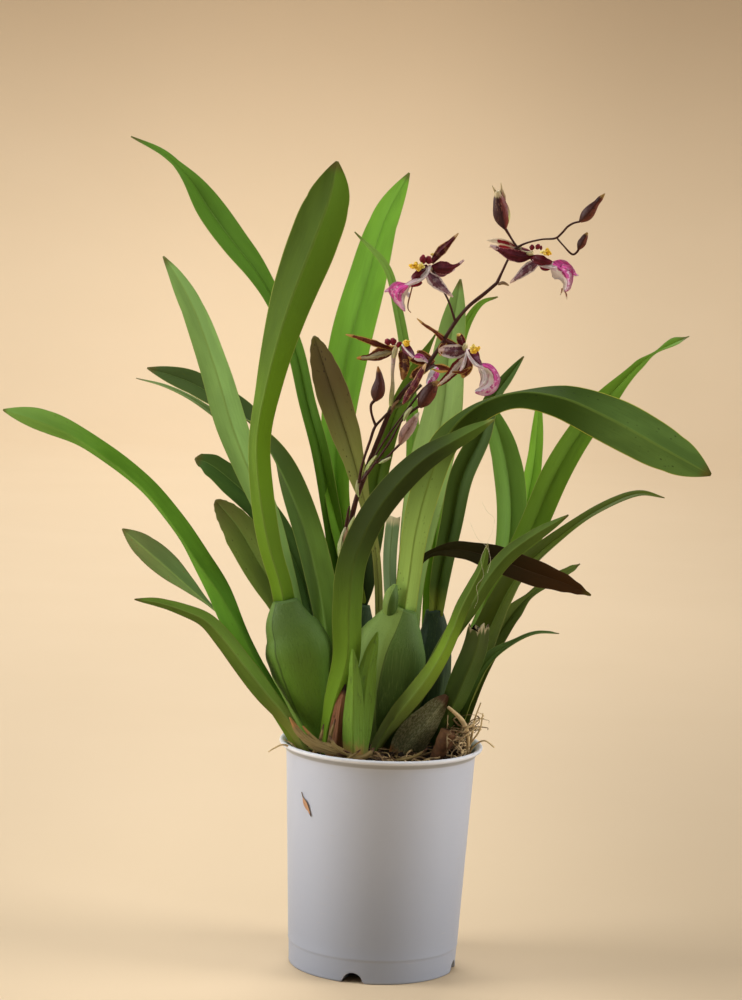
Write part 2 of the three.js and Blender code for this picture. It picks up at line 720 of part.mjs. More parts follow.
const SPIKE = {
  colour: "stem",
  parts: [
    stalk([
      [-25, -8, SEAT], [-27, -9, 160], [-31, -9, 210], [-29, -9, 241], [-26, -11.5, 253],
      [-23.5, -14, 266.5],
      [-21, -17.5, 280.5], [-17, -21, 295], [-10, -25.5, 312], [-3, -30, 329.5], [5, -34.5, 344.5],
      [13.5, -38.5, 356.5],
      [22.5, -43, 371.5], [26.5, -46.5, 380.5], [34, -49.5, 391.5], [44, -51.5, 399.5],
      [54.5, -54, 408.5], [59.5, -56.5, 418],
      [63, -59.5, 428],
    ], [2, 2, 1.9, 1.7, 1.6, 1.4, 1.3, 1.2], 26),
    stalk([
      [63, -59.5, 428], [71, -60, 431], [78.5, -60, 434], [85.5, -60, 434], [92, -62, 441],
      [98, -63, 444.5],
    ], [1, 0.8, 0.7], 9),
    stalk([[85.5, -60, 434], [89.5, -58.5, 429], [94.5, -58, 426], [97.5, -58.5, 428]], [0.7], 6),
    stalk([[63, -59, 427], [58.5, -59.5, 433], [56, -60.5, 440]], [0.9]),
    stalk([[-21, -18, 284.5], [-19, -25.5, 303], [-13, -30.5, 321], [-5, -32.5, 331.5]], [1, 0.8], 6),
    stalk([[-12, -30.5, 322], [-15, -33.5, 331.5], [-12, -35.5, 339.5]], [0.8]),
    stalk([[-12, -25, 309], [-3, -30, 314], [5, -32, 319.5]], [0.8]),
    stalk([[33, -49, 390.5], [27, -50, 402.5], [19.5, -51, 412.5], [15.5, -51.5, 417]], [0.8, 0.7]),
    stalk([[0, -31, 333.5], [-2, -35, 346.5], [-2.5, -37, 359.5], [-1.5, -38, 367.5]], [0.9, 0.7]),
    stalk([[22.5, -43, 371.5], [29.5, -42, 370.5], [35.5, -40.5, 368.5]], [0.8]),
    stalk([[11.5, -37.5, 353.5], [16.5, -34, 355.5], [20.5, -31.5, 356.5]], [0.8]),
    stalk([[68, -60, 430], [74, -58.5, 428], [79, -57, 426]], [0.8]),
    stalk([[5, -34.5, 343.5], [10, -36, 337.5], [13.5, -36.5, 334.5]], [0.8]),
  ],
};

const BRACTS = {
  spike_bract_low: {
    colour: "dry",
    spine: [[-30, -11, 240], [-28.5, -12.5, 250], [-25.5, -15, 261.5]],
    half: [1.6, 2.2, 0.4],
    turn: [0],
    fold: [-40],
    thick: 0.8,
    stations: 6,
  },
  spike_bract_middle: {
    colour: "leaf",
    spine: [[-19, -21, 287.5], [-15, -24, 298], [-10, -27.5, 308]],
    half: [1.6, 2.4, 0.4],
    turn: [0],
    fold: [-36],
    thick: 0.8,
    stations: 6,
  },
};

// A bud: rounded body narrowed at the stalk and drawn to a point.
function bud(base, middle, tip, width) {
  return {
    colour: "bud",
    spine: [base, middle, tip],
    radius: [width * 0.14, width * 0.4, width * 0.5, width * 0.4, width * 0.2, 0.3],
    flat: 0.85,
    sides: 10,
    stations: 9,
  };
}

const BUDS = {
  bud_top: bud([56, -61, 440.5], [54, -64, 450.5], [50, -67, 464], 9.5),
  bud_right_outer: bud([98.5, -63.5, 445.5], [103.5, -65, 451], [110.5, -68, 460.5], 7.6),
  bud_right_inner: bud([97.5, -58.5, 428.5], [100, -59.5, 433], [103.5, -61.5, 440], 5.2),
  bud_left: bud([-12, -35.5, 340], [-10.5, -37.5, 348.5], [-12, -40, 358.5], 8),
  bud_middle: bud([13.5, -36.5, 334.5], [17.5, -39, 342.5], [23.5, -41, 350.5], 8),
  bud_low: bud([5.5, -32, 320], [9, -34.5, 326.5], [13.5, -36.5, 335.5], 7),
};

// One flower: five narrow sepals and petals round a column, and a lip with a warty crest.
function tepal(points, width, turn = 0, fold = 16) {
  return {
    spine: points,
    half: [width * 0.3, width * 0.5, width * 0.45, 0.4],
    turn: [turn],
    fold: [fold],
    thick: 0.9,
    stations: 5,
  };
}

function lip(points, widths, turn = 0, fold = -14) {
  return { spine: points, half: widths, turn: [turn], fold: [fold], thick: 1, stations: 8 };
}

function knob(centre, size) {
  const [x, y, z] = centre;
  return {
    spine: [[x, y, z - size], [x, y, z], [x, y, z + size]],
    radius: [size * 0.4, size, size * 0.4],
    sides: 7,
    stations: 4,
  };
}

const FLOWERS = {
  flower_right_tepals: {
    colour: "petal",
    parts: [
      knob([79, -57, 426], 2.4),
      tepal([[79, -57, 426], [69, -56.5, 432], [50.5, -56, 434]], 5, 10),
      tepal([[79, -57, 426], [70, -59, 427], [58.5, -60.5, 429]], 9, 0),
      tepal([[79, -57, 426], [71, -58, 419], [58.5, -57, 412.5]], 9, 0),
      tepal([[79, -57, 426], [77.5, -55.5, 432], [80.5, -54.5, 436]], 5, 0),
      tepal([[79, -57, 426], [82, -53.5, 422], [87.5, -49.5, 417]], 5, 0),
    ],
  },
  flower_right_lip: {
    colour: "lip",
    parts: [
      lip([
        [79, -58, 427], [82.5, -61.5, 424.5], [87.5, -61, 419], [92, -57, 409.5],
        [93, -54.5, 403.5],
      ], [3, 4.5, 3, 7.5, 5.5, 0.8]),
      knob([80.5, -63.5, 428], 2.6),
    ],
  },
  flower_left_tepals: {
    colour: "petal",
    parts: [
      knob([13.5, -51.5, 417], 2.4),
      tepal([[13.5, -51.5, 417], [21, -51, 424], [31, -53, 434]], 5, 0),
      tepal([[13.5, -51.5, 417], [23, -55, 419], [35, -56, 419]], 8, 0),
      tepal([[13.5, -51.5, 417], [20.5, -52, 408.5], [29, -51, 398.5]], 10, 0),
      tepal([[13.5, -51.5, 417], [10.5, -49.5, 421], [5.5, -48, 424]], 5, 0),
      tepal([[13.5, -51.5, 417], [11.5, -46.5, 410.5], [10.5, -42.5, 403.5]], 5, 0),
    ],
  },
  flower_left_lip: {
    colour: "lip",
    parts: [
      lip([
        [13.5, -52.5, 417], [8.5, -54.5, 410.5], [3.5, -54.5, 403.5], [-3, -52.5, 396.5],
        [-5, -50.5, 391.5],
      ], [3, 4.5, 3.4, 7, 6, 0.8]),
      knob([9.5, -56.5, 415], 2.6),
    ],
  },
  flower_middle_left_tepals: {
    colour: "petal",
    parts: [
      knob([-1, -38.5, 369.5], 2.3),
      tepal([[-1, -38.5, 369.5], [-14, -41.5, 372.5], [-29.5, -43.5, 377.5]], 4.6, 0),
      tepal([[-1, -38.5, 369.5], [-12, -42, 366.5], [-24, -42.5, 364.5]], 5, 0),
      tepal([[-1, -38.5, 369.5], [-4, -37.5, 373.5], [-7, -37.5, 377.5]], 5, 0),
      tepal([[-1, -38.5, 369.5], [2, -39.5, 360.5], [5, -39, 350.5]], 6.5, 0),
      tepal([[-1, -38.5, 369.5], [4, -37, 374.5], [8.5, -37, 379.5]], 4.5, 0),
    ],
  },
  flower_middle_left_lip: {
    colour: "lip",
    parts: [
      lip([
        [-1, -40, 370.5], [4.5, -44, 370], [10.5, -44.5, 364.5], [17.5, -43.5, 361.5],
      ], [2.6, 4, 4.5, 3, 0.6]),
      knob([4, -46, 374.5], 2.2),
    ],
  },
  flower_centre_tepals: {
    colour: "petal",
    parts: [
      knob([36.5, -40, 367.5], 2.6),
      tepal([[36.5, -40, 367.5], [23.5, -45, 374.5], [8.5, -50, 387.5]], 6, 0),
      tepal([[36.5, -40, 367.5], [35, -45, 375.5], [33, -48, 383.5]], 8, 0),
      tepal([[36.5, -40, 367.5], [29.5, -45, 366.5], [21.5, -47, 367.5]], 11, 0),
      tepal([[36.5, -40, 367.5], [28.5, -43, 358.5], [19.5, -43, 350.5]], 9, 0),
      tepal([[36.5, -40, 367.5], [34.5, -41.5, 356.5], [32.5, -41.5, 348.5]], 8, 0),
    ],
  },
  flower_centre_lip: {
    colour: "lip",
    parts: [
      lip([
        [36.5, -41.5, 368.5], [42, -45.5, 365.5], [47, -46.5, 360.5], [52, -44.5, 353.5],
        [44.5, -42.5, 347.5],
      ], [3.4, 5, 4, 6, 4.5, 0.8]),
      knob([41, -48.5, 373.5], 3),
    ],
  },
  flower_back: {
    colour: "petal",
    parts: [
      knob([20.5, -30.5, 356.5], 2.2),
      tepal([[20.5, -30.5, 356.5], [15.5, -32.5, 353.5], [11.5, -33.5, 349.5]], 6, 0),
      tepal([[20.5, -30.5, 356.5], [14.5, -31, 363.5], [10.5, -31.5, 369.5]], 5, 0),
      tepal([[20.5, -30.5, 356.5], [26.5, -27, 354.5], [32.5, -25, 351.5]], 5, 0),
    ],
  },
};

// Loose roots and moss at the right edge of the pot: strands that cross and have grown together.
function strand(spine, radius) {
  return { spine, radius, stations: 6, sides: 5 };
}

const ROOTS = {
  root_tangle: {
    colour: "root",
    parts: [
      strand([
        [47, -10, SEAT], [47, -14, 132], [48, -16, 144], [45, -18, 156], [42.5, -18, 165],
      ], [1.6, 1.3, 1, 0.8]),
      strand([[47, -10, 122], [51, -10, 136], [54, -12, 150], [57, -14, 162]], [1.1, 0.8, 0.5]),
      strand([[47, -10, 124], [54, -14, 134], [62, -18, 139], [72, -20, 134]], [1, 0.8, 0.5]),
      strand([[47, -10, 124], [43, -16, 136], [48, -20, 144], [52, -18, 156]], [1, 0.8, 0.6]),
      strand([[47, -10, 126], [54, -8, 140], [60, -10, 154]], [0.9, 0.6, 0.5]),
      strand([[47, -10, 122], [45, -16, 133], [54, -16, 140], [63, -14, 147]], [1, 0.7, 0.5]),
      strand([[47, -10, 124], [40, -17, 130], [41, -22, 136], [46, -20, 141]], [0.9, 0.7, 0.5]),
    ],
  },
};

// ---------- assembly ----------
const scene = new THREE.Group();
scene.name = "oncidium_orchid_with_pot";
const placed = [];
const potSleeve = potWall(GAP);

// Cuts the clearance of every earlier neighbour out of the new piece and keeps its main body.
function place(name, spec) {
  let solid = shape(spec);
  const box = solid.boundingBox();
  if (box.min[2] < POT_HEIGHT) solid = solid.subtract(potSleeve);
  for (const other of placed) {
    if (!boxesMeet(box, other.box)) continue;
    solid = solid.subtract(other.grown);
  }
  placed.push({ name, grown: shape(spec, GAP), box: grownBox(box) });
  show(name, largest(solid), spec.colour ?? "leaf");
}

function grownBox(box) {
  return { min: box.min.map((v) => v - 2 * GAP), max: box.max.map((v) => v + 2 * GAP) };
}

function boxesMeet(a, b) {
  return [0, 1, 2].every((k) => a.min[k] <= b.max[k] && b.min[k] <= a.max[k]);
}

function largest(solid) {
  const bodies = solid.decompose();
  bodies.sort((a, b) => b.volume() - a.volume());
  return bodies[0];
}

function show(name, solid, colour) {
  const rough = colour === "pot" ? 0.45 : 0.55;
  const material = new THREE.MeshStandardMaterial({ color: HEX[colour], roughness: rough });
  material.name = colour;
  const mesh = new THREE.Mesh(mergeVertices(toGeometry(solid), 1e-3), material);
  mesh.name = name;
  scene.add(mesh);
}

show("pot", potSolid(), "pot");
for (const group of [BULBS, SHOOTS, { flower_spike: SPIKE }, LEAVES, BRACTS, BUDS, FLOWERS, ROOTS]) {
  for (const [name, spec] of Object.entries(group)) place(name, spec);
}
let mix = mixSolid();
for (const other of placed) {
  if (other.box.min[2] < MIX_LEVEL + 5) mix = mix.subtract(other.grown);
}
show("potting_mix", largest(mix), "mix");

export default scene;
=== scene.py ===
# %% [markdown]
# # An oncidium orchid in its pot
#
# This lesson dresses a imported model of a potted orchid. The model gives every piece its place and
# its size: bulbs, strap leaves, a flower spike and a plain pot. Here each of those plain solids is
# replaced by a finer mesh on the same centre line, and gets a finish worked out from noise and
# from where a point lies on its leaf or petal. Nothing is painted from a picture.
#
# Lengths in the tables are millimetres, as a grower would measure them. +Z is up, the pot stands
# on z = 0, and -Y is the side that the flowers face.

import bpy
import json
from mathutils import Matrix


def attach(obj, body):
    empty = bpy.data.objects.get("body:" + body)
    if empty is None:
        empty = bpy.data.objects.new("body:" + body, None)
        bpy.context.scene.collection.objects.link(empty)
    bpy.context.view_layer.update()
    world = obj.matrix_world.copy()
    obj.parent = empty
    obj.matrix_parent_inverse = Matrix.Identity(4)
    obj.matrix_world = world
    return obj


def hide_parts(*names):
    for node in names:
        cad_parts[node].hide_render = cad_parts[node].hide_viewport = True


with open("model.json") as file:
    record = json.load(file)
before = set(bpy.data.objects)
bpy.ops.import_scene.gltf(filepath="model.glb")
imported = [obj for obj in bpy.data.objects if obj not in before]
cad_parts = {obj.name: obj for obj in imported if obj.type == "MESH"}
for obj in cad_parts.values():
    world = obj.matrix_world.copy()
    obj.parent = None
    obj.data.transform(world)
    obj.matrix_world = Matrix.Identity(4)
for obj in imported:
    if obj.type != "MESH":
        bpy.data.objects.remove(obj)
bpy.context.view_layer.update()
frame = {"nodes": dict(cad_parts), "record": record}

# %% Tools and units
import json
import math

import bpy
import numpy as np
from mathutils import Matrix, Vector

MM = 0.001
FRONT = np.array([0.0, -1.0, 0.0])
print("pieces to dress:", len(frame["nodes"]))
# %% [markdown]
# ## Writing finishes as sums
#
# A Blender material is a graph of nodes. Wiring it by hand makes long scripts, so two small
# classes help. `Wire` stands for a value that changes over the surface, and adding or multiplying
# wires adds the Math nodes. `Finish` owns a material, and its `node` method adds any other node.
# Values that are the same all over go straight onto the shader's own sockets.

# %% Wire: a socket that understands + - *
class Wire:
    """A value in a material. Arithmetic on it adds Math nodes."""

    def __init__(self, finish, socket):
        self.finish = finish
        self.socket = socket

    def maths(self, operation, *values):
        return self.finish.node("ShaderNodeMath", {"operation": operation}, dict(enumerate(values)))

    def __add__(self, other):
        return self.maths("ADD", self, other)

    def __sub__(self, other):
        return self.maths("SUBTRACT", self, other)

    def __rsub__(self, other):
        return self.maths("SUBTRACT", other, self)

    def __mul__(self, other):
        return self.maths("MULTIPLY", self, other)

    def __abs__(self):
        return self.maths("ABSOLUTE", self)

    __radd__ = __add__
    __rmul__ = __mul__

    def rise(self, low, high):
        """0 below `low`, 1 above `high`, and a smooth step between; `high` may be the lower."""
        settings = {"interpolation_type": "SMOOTHSTEP"}
        if low < high:
            values = {0: self, 1: low, 2: high, 3: 0.0, 4: 1.0}
        else:
            values = {0: self, 1: high, 2: low, 3: 1.0, 4: 0.0}
        return self.finish.node("ShaderNodeMapRange", settings, values)


# %% Finish: a material that adds its own nodes
class Finish:
    """A material built round one Principled shader."""

    def __init__(self, name, roughness, shine):
        self.material = bpy.data.materials.new(name)
        self.material.use_nodes = True
        self.tree = self.material.node_tree
        self.shader = self.tree.nodes["Principled BSDF"]
        self.feed(Roughness=roughness, Specular_IOR_Level=shine)
        self.colour = None

    def feed(self, **sockets):
        """Sets or links the shader's sockets; Base_Color stands for Base Color."""
        for name, value in sockets.items():
            self.put(self.shader.inputs[name.replace("_", " ")], value)

    def put(self, socket, value):
        if isinstance(value, Wire):
            self.tree.links.new(value.socket, socket)
        elif socket.type == "RGBA":
            socket.default_value = (*value, 1.0)
        else:
            socket.default_value = value

    def node(self, kind, settings=None, values=None, out=0):
        made = self.tree.nodes.new(kind)
        for name, value in (settings or {}).items():
            setattr(made, name, value)
        for key, value in (values or {}).items():
            self.put(made.inputs[key], value)
        return Wire(self, made.outputs[out])

    def read(self, attribute, out=2):
        """A value stored on the mesh; out=1 reads a vector."""
        return self.node("ShaderNodeAttribute", {"attribute_name": attribute}, out=out)

    def mix(self, first, second, share):
        """From colour `first` at share 0 to `second` at share 1."""
        return self.node("ShaderNodeMix", {"data_type": "RGBA"}, {0: share, 6: first, 7: second}, out=2)

    def layer(self, tone, share):
        """Lays a tone over the colour so far."""
        self.colour = self.mix(self.colour, tone, share)

    def noise(self, place, scale, detail=2.0, roughness=0.5):
        values = {"Vector": place, "Scale": scale, "Detail": detail, "Roughness": roughness}
        return self.node("ShaderNodeTexNoise", None, values)

    def cells(self, place, scale):
        return self.node("ShaderNodeTexVoronoi", None, {"Vector": place, "Scale": scale})

    def stretch(self, place, factors):
        """Scales a vector wire axis by axis, which draws noise out into streaks."""
        return self.node("ShaderNodeVectorMath", {"operation": "MULTIPLY"}, {0: place, 1: factors})

    def streaks(self, place, factors, detail, roughness=0.5):
        return self.noise(self.stretch(place, factors), 1.0, detail, roughness)

    def around(self):
        """The point on the surface, in metres."""
        return self.node("ShaderNodeTexCoord", None, None, out=3)

    def bump(self, height, strength, distance):
        values = {"Height": height, "Strength": strength, "Distance": distance}
        self.feed(Normal=self.node("ShaderNodeBump", None, values))


def scaled(tone, factor):
    """The same tone, darker or lighter."""
    return tuple(factor * part for part in tone)


print("a dark green from a lighter one:", scaled((0.10, 0.20, 0.04), 0.5))
# %% [markdown]
# ## Meshes along a line
#
# Leaves, petals, stems and bulbs all grow along a line, so one idea makes them all: walk along a
# smooth line through a few points, set a cross section at each stop, and skin the sections. Curve
# objects with a bevel could do the stems, but a skin of our own can fold, taper and ripple, and it
# can store on each corner how far along and across the leaf it lies, which the finishes read.

# %% A smooth line through points, and the stops along it
def smooth_line(points, per_span=24):
    """Close points on a centripetal curve through `points`."""
    p = np.array(points, float)
    p = np.vstack([2 * p[0] - p[1], p, 2 * p[-1] - p[-2]])
    pieces = []
    for a, b, c, d in zip(p, p[1:], p[2:], p[3:]):
        ab, bc, cd = [np.linalg.norm(y - x) ** 0.5 for x, y in ((a, b), (b, c), (c, d))]
        start = ((b - a) / ab - (c - a) / (ab + bc) + (c - b) / bc) * bc
        end = ((c - b) / bc - (d - b) / (bc + cd) + (d - c) / cd) * bc
        t = np.linspace(0, 1, per_span, endpoint=False)[:, None]
        cubic = 2 * b - 2 * c + start + end
        pieces.append(b + start * t + (3 * (c - b) - 2 * start - end) * t**2 + cubic * t**3)
    return np.vstack(pieces + [p[-2:-1]])


LOOK_AHEAD = 0.004  # share of the line between the points that give its direction


def walk(points, shares):
    """Place, direction and distance at each share of the line's length."""
    line = smooth_line(points)
    run = np.concatenate([[0], np.cumsum(np.linalg.norm(np.diff(line, axis=0), axis=1))])
    stops = np.asarray(shares) * run[-1]
    place = np.column_stack([np.interp(stops, run, line[:, k]) for k in range(3)])
    reach = run[-1] * LOOK_AHEAD
    ahead = np.column_stack([np.interp(stops + reach, run, line[:, k]) for k in range(3)])
    behind = np.column_stack([np.interp(stops - reach, run, line[:, k]) for k in range(3)])
    way = ahead - behind
    return place, way / np.linalg.norm(way, axis=1, keepdims=True), stops


# %% Values that change along the line, and the directions across it
def ease(pairs, u):
    """Values given as [share, value] pairs, eased from pair to pair."""
    at, value = np.array(pairs, float).T
    k = np.clip(np.searchsorted(at, u) - 1, 0, len(at) - 2)
    t = np.clip((u - at[k]) / (at[k + 1] - at[k]), 0, 1)
    return value[k] + (value[k + 1] - value[k]) * t * t * (3 - 2 * t)


def along(values, u):
    """Values at even steps along the line, smoothly joined."""
    u = np.asarray(u, float)
    if len(values) == 1:
        return np.full(u.shape, float(values[0]))
    if np.ndim(values[0]) == 1:
        return ease(values, u)
    v = np.array(values, float)
    slope = np.gradient(v)
    k = np.minimum((u * (len(v) - 1)).astype(int), len(v) - 2)
    t = u * (len(v) - 1) - k
    blend = (2 * t**3 - 3 * t**2 + 1) * v[k] + (t**3 - 2 * t**2 + t) * slope[k]
    return blend + (3 * t**2 - 2 * t**3) * v[k + 1] + (t**3 - t**2) * slope[k + 1]


def half_width(values, u):
    """Half the width of a blade; its last stretch rounds off towards the tip."""
    width = along(values, u)
    if np.ndim(values[0]) == 1:
        return width
    last = len(values) - 1
    t = np.clip(u * last - (last - 1), 0, 1)
    tip = values[-1] + (values[-2] - values[-1]) * (1 - t**1.7)
    return np.where(t > 0, tip, width)


def across_line(way, turn):
    """Unit vectors to the side and to the face, turned about the line by `turn` degrees."""
    face = FRONT - way * (way @ FRONT)[:, None]
    face /= np.linalg.norm(face, axis=1, keepdims=True)
    side = np.cross(way, face)
    c = np.cos(np.radians(turn))[:, None]
    s = np.sin(np.radians(turn))[:, None]
    return side * c - face * s, face * c + side * s


# %% Skinning the sections into a closed mesh
def new_mesh(name, points, faces, values=None):
    """A smooth-shaded object from points in millimetres, with values stored on its points."""
    mesh = bpy.data.meshes.new(name)
    mesh.from_pydata((np.asarray(points) * MM).tolist(), [], faces)
    for key, value in (values or {}).items():
        value = np.asarray(value, np.float32)
        kind, field = ("FLOAT", "value") if value.ndim == 1 else ("FLOAT_VECTOR", "vector")
        mesh.attributes.new(key, kind, "POINT").data.foreach_set(field, value.ravel())
    mesh.polygons.foreach_set("use_smooth", [True] * len(mesh.polygons))
    mesh.validate()
    piece = bpy.data.objects.new(name, mesh)
    bpy.context.scene.collection.objects.link(piece)
    return piece


def ring_faces(count, size, first=0):
    """Quads between `count` rings of `size` points; `first` is the number of the first point."""
    row = first + np.arange(count - 1)[:, None] * size
    a, b = row + np.arange(size), row + np.roll(np.arange(size), -1)
    return [tuple(face) for face in np.stack([a, b, b + size, a + size], axis=-1).reshape(-1, 4).tolist()]


def skin(loops, first=0):
    """Faces that join equal loops of points and close both ends, looking outwards."""
    count, size = loops.shape[:2]
    end = first + (count - 1) * size
    faces = ring_faces(count, size, first)
    faces += [tuple(range(first, first + size))[::-1], tuple(range(end, end + size))]
    if volume(loops) < 0:
        faces = [face[::-1] for face in faces]
    return faces


def volume(loops):
    """Signed volume between the sides and the middle, which tells whether they look outwards."""
    points = loops - loops.reshape(-1, 3).mean(axis=0)
    a, d = points[:-1], points[1:]
    b, c = np.roll(a, -1, axis=1), np.roll(d, -1, axis=1)
    return np.sum(a * np.cross(b, c)) + np.sum(a * np.cross(c, d))


class Body:
    """Collects skinned strokes that grew together, and turns them into one object."""

    def __init__(self):
        self.points, self.faces, self.values, self.count = [], [], {}, 0

    def add(self, loops, values):
        """Adds one stroke, with the values stored on its points."""
        self.faces += skin(loops, self.count)
        self.points.append(loops.reshape(-1, 3))
        for key, value in values.items():
            wide = np.asarray(value, float)
            width = wide.shape[2:] if wide.ndim == 3 else ()
            self.values.setdefault(key, []).append(wide.reshape(-1, *width))
        self.count += loops.shape[0] * loops.shape[1]
        return self

    def tint(self, loops, tone):
        """Adds one stroke with the same tone all over."""
        return self.add(loops, {"tone": np.full(loops.shape[:2], tone)})

    def piece(self, name):
        values = {key: np.concatenate(parts) for key, parts in self.values.items()}
        return new_mesh(name, np.vstack(self.points), self.faces, values)


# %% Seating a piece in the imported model
def seat(piece, finish, slot_name, *nodes):
    """Gives a piece its finish, lets it ride on the plant's one body, and stands in for nodes."""
    piece.data.materials.append(finish.material)
    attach(piece, "root")
    if nodes:
        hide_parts(*nodes)
    return piece


print("stops on a bent line:", len(smooth_line([[0, 0, 0], [0, 0, 10], [0, 5, 20]])))
# %% [markdown]
# ## A blade and a rod
#
# A strap leaf is a gutter: two halves that meet in a fold, thick at the midrib and thin at the
# margins. The inside of the fold has a fine groove and the outside a keel. A blade here is that
# section carried along the line, with margins that ripple a little. Petals and sheaths are blades
# too, only shorter. A rod is a round or flattened section: stems, bulbs, buds and roots.

# %% How a blade's section is drawn
MARGIN_STEPS = np.array([0, 0.045, 0.1, 0.2, 0.35, 0.52, 0.7, 0.84, 0.93, 0.98, 1.0])
ACROSS = np.concatenate([-MARGIN_STEPS[:0:-1], MARGIN_STEPS])
NARROWEST = 0.25  # half width of the finest tip
SOFT_FOLD, SOFT_DEPTH = 0.001, 0.0316  # how round the fold is, and its root
MARGIN_THIN = 0.72  # how much thinner the margin is than the midrib
RIB_HALF = 0.07  # half width of the midrib, as a share
KEEL = 1.6  # how far the keel stands out, against the depth of the groove
RAGGED_WAVE = 3.0  # spacing of the nicks in a torn margin


def ripple(distance, seed, wave=26.0):
    """A gentle uneven wave along a margin."""
    phase = np.random.default_rng(seed).uniform(0, 2 * math.pi, 3)
    steps = np.array([1.0, 2.3, 4.1])
    sizes = np.array([0.6, 0.3, 0.14])
    return (np.sin(distance[:, None] / wave * steps + phase) * sizes).sum(axis=1)


# %% A blade
def blade_loops(spine, half, turn, fold, count, seed=0, waves=0.5, thick=1.1, groove=0.08, arch=0.045,
                ragged=0.0, torn=0.0):
    """Sections of a blade, with where each point lies on it."""
    u = np.linspace(0, 1, count)
    u = u * (1 + 0.35 * (1 - u))
    inner = 1.0 if np.mean(fold) >= 0 else -1.0
    place, way, distance = walk(spine, u)
    side, face = across_line(way, along(turn, u))
    fold = np.radians(along(fold, u))[:, None]
    half = np.maximum(half_width(half, u), NARROWEST)[:, None]
    if ragged:
        half = half * (1 + ragged * ripple(distance, seed + 5, RAGGED_WAVE)[:, None])
    v = ACROSS[None, :]
    soft = (np.sqrt(v**2 + SOFT_FOLD) - SOFT_DEPTH) / (math.sqrt(1 + SOFT_FOLD) - SOFT_DEPTH)
    sideways = half * v * np.cos(fold)
    lift = half * (soft * np.sin(fold) + inner * arch * np.sin(math.pi * np.abs(v)))
    left, right = ripple(distance, seed)[:, None], ripple(distance, seed + 1)[:, None]
    room = np.minimum(1, half / 5)
    lift = lift + waves * room * np.abs(v) ** 2.5 * np.where(v < 0, left, right)
    slope_a = np.gradient(sideways, axis=1)
    slope_b = np.gradient(lift, axis=1)
    size = np.hypot(slope_a, slope_b)
    out_a, out_b = -slope_b / size, slope_a / size
    taper = np.minimum(1, 0.35 + 6 * (1 - u))[:, None]
    body = thick * taper * (1 - MARGIN_THIN * v**2) / 2
    rib = np.exp(-((v / RIB_HALF) ** 2)) * taper * np.minimum(1, half / 6)
    if torn:
        ends = torn * np.random.default_rng(seed).uniform(-1, 1, v.shape[1])
        near_end = ease([[0, 0], [0.8, 0], [1, 1]], u)[:, None]
        place = place[:, None] + way[:, None] * (near_end * ends)[..., None]
    else:
        place = place[:, None]
    sheets = []
    for sign in (1, -1):
        surface = body - groove * rib * (1 if sign == inner else -KEEL)
        a = sideways + sign * out_a * surface
        b = lift + sign * out_b * surface
        sheets.append(place + side[:, None] * a[..., None] + face[:, None] * b[..., None])
    loops = np.concatenate([sheets[0], sheets[1][:, ::-1]], axis=1)
    share = np.repeat(u[:, None], loops.shape[1], axis=1)
    lie = np.concatenate([v + 0 * half, (v + 0 * half)[:, ::-1]], axis=1)
    upper = np.concatenate([0 * sheets[0][..., 0] + inner, 0 * sheets[1][..., 0] - inner], axis=1)
    run = np.repeat(distance[:, None], loops.shape[1], axis=1)
    strap = np.stack([lie * half, run, upper], axis=-1)
    return loops, {"along": share, "across": lie, "strap": strap}


# %% A rod
THINNEST = 0.05  # radius of the finest thread
JOINT_SPACING = 4.0  # distance between the swellings of a stepped rod


def rod_loops(spine, radius, count, sides, ridges=(), stepped=0.0, flat=1.0):
    """Round sections; each ridge is (angle in degrees, height in mm, width in degrees)."""
    u = np.linspace(0, 1, count)
    place, way, distance = walk(spine, u)
    side, face = across_line(way, np.zeros(count))
    angle = np.linspace(0, 2 * math.pi, sides, endpoint=False)
    radius = np.repeat(np.maximum(along(radius, u), THINNEST)[:, None], sides, axis=1)
    for at, height, width in ridges:
        away = (np.degrees(angle) - at + 180) % 360 - 180
        fade = np.sin(math.pi * u) ** 1.4
        radius = radius + height * fade[:, None] * np.exp(-((away / width) ** 2))[None, :]
    if stepped:
        radius = radius * (1 + stepped * ripple(distance, 3, JOINT_SPACING)[:, None])
    a = radius * np.cos(angle)
    b = radius * flat * np.sin(angle)
    loops = place[:, None] + side[:, None] * a[..., None] + face[:, None] * b[..., None]
    share = np.repeat(u[:, None], sides, axis=1)
    around = np.repeat((angle / (2 * math.pi))[None, :], count, axis=0)
    run = np.repeat(distance[:, None], sides, axis=1)
    strap = np.stack([radius * np.cos(angle), run, radius * np.sin(angle)], axis=-1)
    return loops, {"along": share, "across": np.cos(2 * math.pi * around), "strap": strap}


print("columns across a blade:", len(ACROSS))
# %% [markdown]
# ## The pot
#
# A thin blow-moulded pot: a plain tapered wall, a rolled lip that stands out over it, a fine
# step where the foot begins, and half-round notches in the foot that let water out. Turning a
# profile gives the wall, and moving the points near each notch upwards, rather than cutting with
# a boolean, keeps the mesh clean.

# %% Pot sizes, in millimetres
POT_HEIGHT = 133.7
LIP_RADIUS = 60.0
WALL_TOP_RADIUS = 56.0
BASE_RADIUS = 49.6
WALL = 1.5
FLOOR = 2.0
FOOT_STEP = 14.0
NOTCHES = 4
NOTCH_RADIUS = 6.2
FIRST_NOTCH = -103.0
POT_SIDES = 240

# Heights on the pot in metres, for its finish: painted shade towards the foot, a painted shadow
# under the lip and a painted highlight on the rim.
LIP_SHADOW = 0.1297
LIP_HIGHLIGHT = (0.1310, 0.1322)
WALL_SHADE = (0.13, -0.01)


def wall_radius(z):
    return BASE_RADIUS + (WALL_TOP_RADIUS - BASE_RADIUS) * z / POT_HEIGHT


